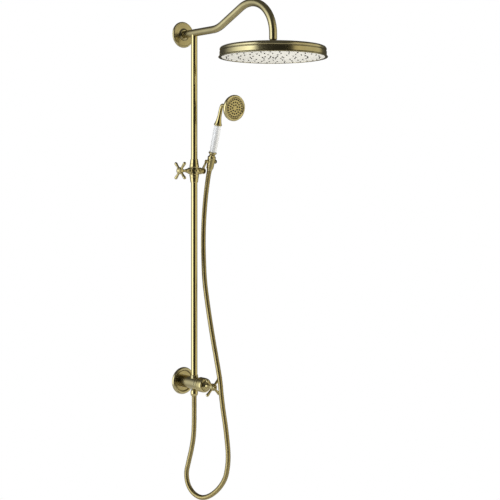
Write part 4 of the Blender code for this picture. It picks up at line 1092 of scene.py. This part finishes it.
# link and cradle that hold the handset
holder = {
    "ball": 8.7,
    "eyeSide": 26.0,
    "bar": [(0, 0), (3.9, 0), (3.5, 0.5, 8), (3.1, 1.0), (0, 1.0)],
    "disc": [
        (0, 3), (6.5, 3), (8.6, 5.0, 1), (9.2, 6.8, 0.8), (9.2, 8.2, 0.8), (8.4, 9.3, 0.8), (7.4, 9.2, 0.6),
        (6.7, 8.0, 0.5), (6.5, 6.9, 0.3), (0, 6.9),
    ],
    "discShadeFloor": [(0, 6.6), (6.55, 6.6), (6.55, 7.2, 0.2), (4.4, 7.2, 0.3), (4.0, 7.7, 0.3), (0, 7.8)],
    "eye": [
        (2.8, -2.6, 0.2), (4.6, -2.6, 0.5), (5.2, -2.0, 0.5), (5.2, 2.6, 0.5), (4.6, 3.2, 0.5),
        (2.8, 3.2, 0.2),
    ],
    "pin": [
        (0, -4.0), (3.4, -3.8, 0.4), (3.9, -3.2, 0.3), (3.9, -2.9, 0.2), (2.5, -2.9), (2.5, 6.1), (0, 6.1),
    ],
    "cradle": [
        (8.7, 6), (9.9, 6, 0.2), (10.4, 7.2, 0.5), (10.9, 16, 6), (11.9, 36.6, 0.8), (12.5, 38.6, 0.6),
        (12.4, 42.2, 0.5), (11.6, 43.5, 0.5), (10.5, 43.5, 0.3),
    ],
    "boss": [(0, -14.5), (4.9, -14.5, 0.3), (5.8, -13.6, 0.5), (5.8, -10.2), (0, -10.2)],
    "bossRight": [(0, 10.2), (5.8, 10.2), (5.8, 13.2, 0.5), (5.2, 14, 0.4), (0, 14)],
    "sideCap": [(0, 14.3), (5.4, 14.3, 0.2), (6.2, 15.3, 0.4), (6.2, 17.4, 0.5), (5, 18.6, 0.6), (0, 18.9)],
}


def makeHolder(spec):
    ball = [
        (spec["ball"] * math.sin(math.pi * step / 24), -spec["ball"] * math.cos(math.pi * step / 24))
        for step in range(25)
    ]
    ball[0], ball[-1] = (0, -spec["ball"]), (0, spec["ball"])
    eyePlace = Vector((spec["eyeSide"] * mm, pivotPlace.y, pivotPlace.z))
    reach = eyePlace - ballPlace
    aim = Matrix.Translation(ballPlace) @ reach.to_track_quat("Z", "X").to_matrix().to_4x4()
    bar = [(r, h * (reach.length / mm - 4), *rest) for r, h, *rest in spec["bar"]]
    shells = [
        turnedShell(ball, at(ballPlace, "right"), 64),
        turnedShell(spec["disc"], at(ballPlace, "front"), 64),
        turnedShell(bar, aim, 40),
        turnedShell(spec["eye"], at(eyePlace, "right"), 56),
    ]
    makePiece("cradleLink", shells, polishedBrass, "cradle_arm", ["cradle_link"])
    # a near-black disc over the recess floor paints the shade inside the link's disc
    floor = turnedShell(spec["discShadeFloor"], at(ballPlace, "front"), 56)
    makePiece("cradleLinkShadeDisc", [floor], nearBlackBrass, "cradle_arm")
    makeTurned(
        "cradlePin", spec["pin"], at(eyePlace, "right"), 48, polishedBrass, "cradle_arm",
        "cradle_pivot_screw",
    )
    crossways = at(pivotPlace, "right")
    shells = [
        turnedShell(spec["cradle"], handsetFrame, 96),
        turnedShell(spec["boss"], crossways, 56),
        turnedShell(spec["bossRight"], crossways, 56),
    ]
    makePiece("cradleRing", shells, polishedBrass, "cradle", ["handset_cradle"])
    makeTurned("cradleCap", spec["sideCap"], crossways, 56, nearBlackBrass, "cradle", "cradle_side_cap")


makeHolder(holder)

# handset
handset = {
    "cone": [
        (3.5, 0.3), (7.6, 0.3, 0.3), (8.2, 1.5, 0.4), (9.9, 43.5), (9.9, 45, 0.3), (8.5, 47.2, 0.4),
        (5.3, 47.2), (5.3, 37.5), (3.5, 37.5),
    ],
    "collar": [
        (5.3, 47.5), (8.5, 47.5, 0.3), (8.4, 49.4, 0.8), (9.8, 51.5, 0.8), (12, 53.1, 0.6),
        (12.4, 55.0, 0.9), (11.4, 56.9, 0.5), (10.2, 57.5, 0.2), (5.3, 57.5),
    ],
    "grip": [
        (5.3, 57.8), (8.8, 57.8, 0.3), (9.8, 59.3, 0.9), (10.1, 72, 30), (10.3, 98.5, 60), (10.1, 120, 30),
        (9.7, 137.7, 0.9), (8.7, 139.2, 0.3), (5.3, 139.2),
    ],
    "neckFlare": [
        (0, 11.2), (0.5, 11.8), (1.3, 12.0), (2.6, 12.0), (3.4, 11.8), (3.9, 11.2), (4.6, 10.9),
        (6.5, 10.3), (8.5, 9.6), (11, 8.9), (14, 8.2), (17.5, 7.5), (21, 6.9), (25.5, 6.3), (30, 5.9),
    ],
    "neckStart": 139.5,
    "neckRadius": 5.3,
    "neckStraight": 25.5,
    "neckPull": (52, 44),
    "neckEnd": (40.8, 203.9),
    "sprayTilt": math.radians(81.2),
    "shell": [
        (0, 0.3), (6.4, 0.3, 0.3), (7.4, 1.3, 1), (12, 1.9, 6), (22, 4.8, 20), (31, 8.8, 12),
        (36.9, 12.6, 3), (38.3, 16, 2), (38.3, 20, 1.2), (37.2, 22.9, 1.2), (34.9, 24, 1.4),
        (32.4, 23.6, 1.2), (31.0, 22.4, 0.6), (30.7, 14), (21, 7), (0, 4),
    ],
    "face": [
        (0, 20.6), (30.4, 20.6, 0.1), (30.4, 22.3, 0.3), (29.9, 22.5, 0.2), (29.5, 21.9, 0.2),
        (28.8, 21.9, 0.2), (28.4, 22.5, 0.2), (0, 22.6),
    ],
    "nozzleLevel": 22.7,
    "nozzle": [(2.4, 0), (2.35, 0.6), (2.3, 0.6), (2.0, 1.2)],
    "rings": [(25.4, 22), (17.2, 14), (9.2, 7), (0, 1)],
}


def neckLine(spec):
    # flare, straight run and bend, in the handset's own frame
    spots = [Vector((0, 0, spec["neckStart"] + height)) for height, _ in spec["neckFlare"]]
    radii = [radius for _, radius in spec["neckFlare"]]
    forward, along = spec["neckEnd"]
    last = Vector((0, -forward, along))
    facing = Vector((0, -math.sin(spec["sprayTilt"]), math.cos(spec["sprayTilt"])))
    first = Vector((0, 0, spec["neckStart"] + spec["neckStraight"]))
    startPull, endPull = spec["neckPull"]
    hull = (first, first + Vector((0, 0, startPull)), last - facing * endPull, last)
    for step in range(4, 41):
        t = step / 40
        s = 1 - t
        spots.append(hull[0] * s**3 + hull[1] * 3 * s * s * t + hull[2] * 3 * s * t * t + hull[3] * t**3)
        radii.append(spec["neckRadius"] + max(0, 0.6 - 0.1 * (step - 4)))
    world = [handsetFrame @ (spot * mm) for spot in spots]
    return world, [radius / spec["neckRadius"] for radius in radii]


def makeHandset(spec):
    makeTurned("hoseCone", spec["cone"], handsetFrame, 96, polishedBrass, "hose_end", "hose_cone_nut")
    makeTurned(
        "handsetCollar", spec["collar"], handsetFrame, 96, polishedBrass, "handset", "handset_collar",
    )
    makeTurned(
        "handsetGrip", spec["grip"], handsetFrame, 96, porcelain, "handset", "handset_grip",
    )
    spots, radii = neckLine(spec)
    values = {"Radius": spec["neckRadius"] * mm, "Spacing": 0.0007, "Sides": 48, "Finish": polishedBrass}
    neck = bakeTree(makePathCurve("neckPath", spots, radii), tubeTree, values, "handsetNeck")
    finishPiece(neck, "handset", ["handset_neck"])
    forward, along = spec["neckEnd"]
    spray = handsetFrame @ Matrix.Translation((0, -forward * mm, along * mm)) @ Matrix.Rotation(
        spec["sprayTilt"], 4, "X",
    )
    makeTurned("sprayShell", spec["shell"], spray, 128, polishedBrass, "handset", "spray_shell")
    makeTurned(
        "sprayFace", spec["face"], spray, 128, polishedBrass, "handset", "spray_face_plate",
    )
    over = spray @ Matrix.Translation((0, 0, spec["nozzleLevel"] * mm))
    makeNozzles("sprayNozzles", spec, over, "handset", 12)


makeHandset(handset)
print("handset made")

# inner pieces keep their solid and take a finish
innerFinish = {
    "arm_wall_boss": plainBrass,
    "valve_spindle": plainBrass,
    "clamp_screw": plainBrass,
    "handset_core_tube": plainBrass,
    "arm_wall_screw": screwSteel,
    "arm_grub_screw": screwSteel,
    "valve_handle_screw": screwSteel,
    "clamp_handle_screw": screwSteel,
    "cartridge_seal": blackRubber,
    "riser_seal": blackRubber,
    "outlet_washer": blackRubber,
    "handset_washer": blackRubber,
    "spray_gasket": blackRubber,
    "head_nozzle_mat": silicone,
    "head_swivel_seat": nylon,
    "slider_bush": nylon,
    "clamp_pad": nylon,
    "diverter_cartridge": cartridgeWhite,
}
for name, finish in innerFinish.items():
    node = frame["nodes"][name]
    node.data.materials.clear()
    node.data.materials.append(finish)
print("inner pieces finished")

# studio: white surround, a bright panel on the left, a softer one on the right and a dark gap between
studio = {
    "floorDrop": -1.0,
    "floorRadius": 2.0,
    "floorColor": (0.86, 0.86, 0.85),
    "panels": [
        (0.0, (0.02, 0.02, 0.02)), (0.15, (0.04, 0.04, 0.04)), (0.20, (0.25, 0.26, 0.28)),
        (0.26, (0.58, 0.61, 0.64)), (0.32, (0.85, 0.89, 0.94)), (0.345, (0.95, 1.0, 1.06)),
        (0.380, (0.95, 1.0, 1.06)), (0.404, (0.02, 0.02, 0.02)), (0.612, (0.008, 0.008, 0.008)),
        (0.634, (0.44, 0.41, 0.32)), (0.70, (0.32, 0.305, 0.245)), (0.82, (0.36, 0.35, 0.29)),
        (0.855, (0.04, 0.04, 0.035)), (1.0, (0.02, 0.02, 0.02)),
    ],
    "strength": 2.6,
    "overhead": 0.045,
    "below": 0.20,
    "lamps": {
        "faceLamp": {
            "place": (0, -0.80, 0.15), "aim": (0, -0.41, 0.95), "size": 0.3, "spread": 60, "power": 1.15,
        },
        "leftLamp": {
            "place": (-0.855, 0.30, 0.78), "aim": (0.047, -0.13, 0.78), "size": 0.5, "spread": 60,
            "power": 0.75,
        },
        "rightLamp": {
            "place": (0.908, -0.637, 0.78), "aim": (0.047, -0.13, 0.78), "size": 0.5, "spread": 60,
            "power": 1.3,
        },
        "floorLamp": {
            "place": (0, -0.2, -0.45), "aim": (0, -0.2, -1), "size": 4.4, "spread": 180, "power": 34,
        },
    },
}


def makeLamp(name, spec):
    # lights porcelain, plates and floor softly without showing in the metal
    data = bpy.data.lights.new(name, "AREA")
    data.size = spec["size"]
    data.spread = math.radians(spec["spread"])
    data.energy = spec["power"]
    lamp = bpy.data.objects.new(name, data)
    place = Vector(spec["place"])
    aim = (Vector(spec["aim"]) - place).to_track_quat("-Z", "Y")
    lamp.matrix_world = Matrix.Translation(place) @ aim.to_matrix().to_4x4()
    lamp.visible_glossy = False
    lamp.visible_camera = False
    bpy.context.scene.collection.objects.link(lamp)


def makeStudio(spec):
    scene = bpy.context.scene
    scene.view_settings.view_transform = "Standard"
    world = bpy.data.worlds.new("studioWorld")
    scene.world = world
    world.use_nodes = True
    tree = world.node_tree
    tree.nodes.clear()
    out = addNode(tree, "ShaderNodeOutputWorld", (900, 0))
    where = addNode(tree, "ShaderNodeTexCoord", (-1000, 0))
    turned = addNode(tree, "ShaderNodeMapping", (-800, 0), vector_type="POINT")
    turned.inputs["Rotation"].default_value = (0, 0, math.radians(-cameraView["turn"]))
    tree.links.new(where.outputs["Generated"], turned.inputs["Vector"])
    split = addNode(tree, "ShaderNodeSeparateXYZ", (-600, 0))
    tree.links.new(turned.outputs["Vector"], split.inputs[0])
    toCamera = addMath(tree, "MULTIPLY", split.outputs["Y"], -1.0)
    angle = addMath(tree, "ARCTAN2", split.outputs["X"], toCamera)
    share = addMath(tree, "ADD", addMath(tree, "DIVIDE", angle, 2 * math.pi), 0.5)
    around = addRamp(tree, share, spec["panels"])
    # eases off towards straight up
    high = addMath(tree, "SMOOTH_MIN", split.outputs["Z"], 1.0)
    upper = addRamp(tree, high, ((0.30, 0.0), (0.72, 1.0)))
    lower = addRamp(tree, addMath(tree, "MULTIPLY", split.outputs["Z"], -1.0), ((0.25, 0.0), (0.7, 1.0)))
    over = spec["overhead"]
    light = addMix(tree, upper, around, (over, over, over))
    under = spec["below"]
    light = addMix(tree, lower, light, (under, under, under))
    glow = addNode(tree, "ShaderNodeBackground", (400, -100))
    glow.inputs["Strength"].default_value = spec["strength"]
    tree.links.new(light, glow.inputs["Color"])
    white = addNode(tree, "ShaderNodeBackground", (400, 100))
    white.inputs["Color"].default_value = (1, 1, 1, 1)
    seen = addNode(tree, "ShaderNodeLightPath", (400, 400))
    pick = addNode(tree, "ShaderNodeMixShader", (700, 0))
    joinEnds(
        tree,
        (seen.outputs["Is Camera Ray"], pick.inputs[0]),
        (glow.outputs[0], pick.inputs[1]),
        (white.outputs[0], pick.inputs[2]),
        (pick.outputs[0], out.inputs["Surface"]),
    )
    material, tree, shader = startMaterial("paleFloor")
    age = placeGroup(tree, ageGroup, (-600, 0), Cloud_Size=3.0)
    tone = addMix(
        tree, addMath(tree, "MULTIPLY", age.outputs["Clouds"], 0.1), spec["floorColor"], (0.8, 0.8, 0.79),
    )
    tree.links.new(tone, shader.inputs["Base Color"])
    shader.inputs["Roughness"].default_value = 0.7
    disc = bmesh.new()
    bmesh.ops.create_circle(disc, cap_ends=True, segments=128, radius=spec["floorRadius"])
    mesh = bpy.data.meshes.new("studioFloor")
    disc.to_mesh(mesh)
    disc.free()
    mesh.materials.append(material)
    mesh.transform(Matrix.Translation((0, -0.2, spec["floorDrop"])))
    floor = bpy.data.objects.new("studioFloor", mesh)
    scene.collection.objects.link(floor)
    for name, lamp in spec["lamps"].items():
        makeLamp(name, lamp)


makeStudio(studio)
print("studio made")
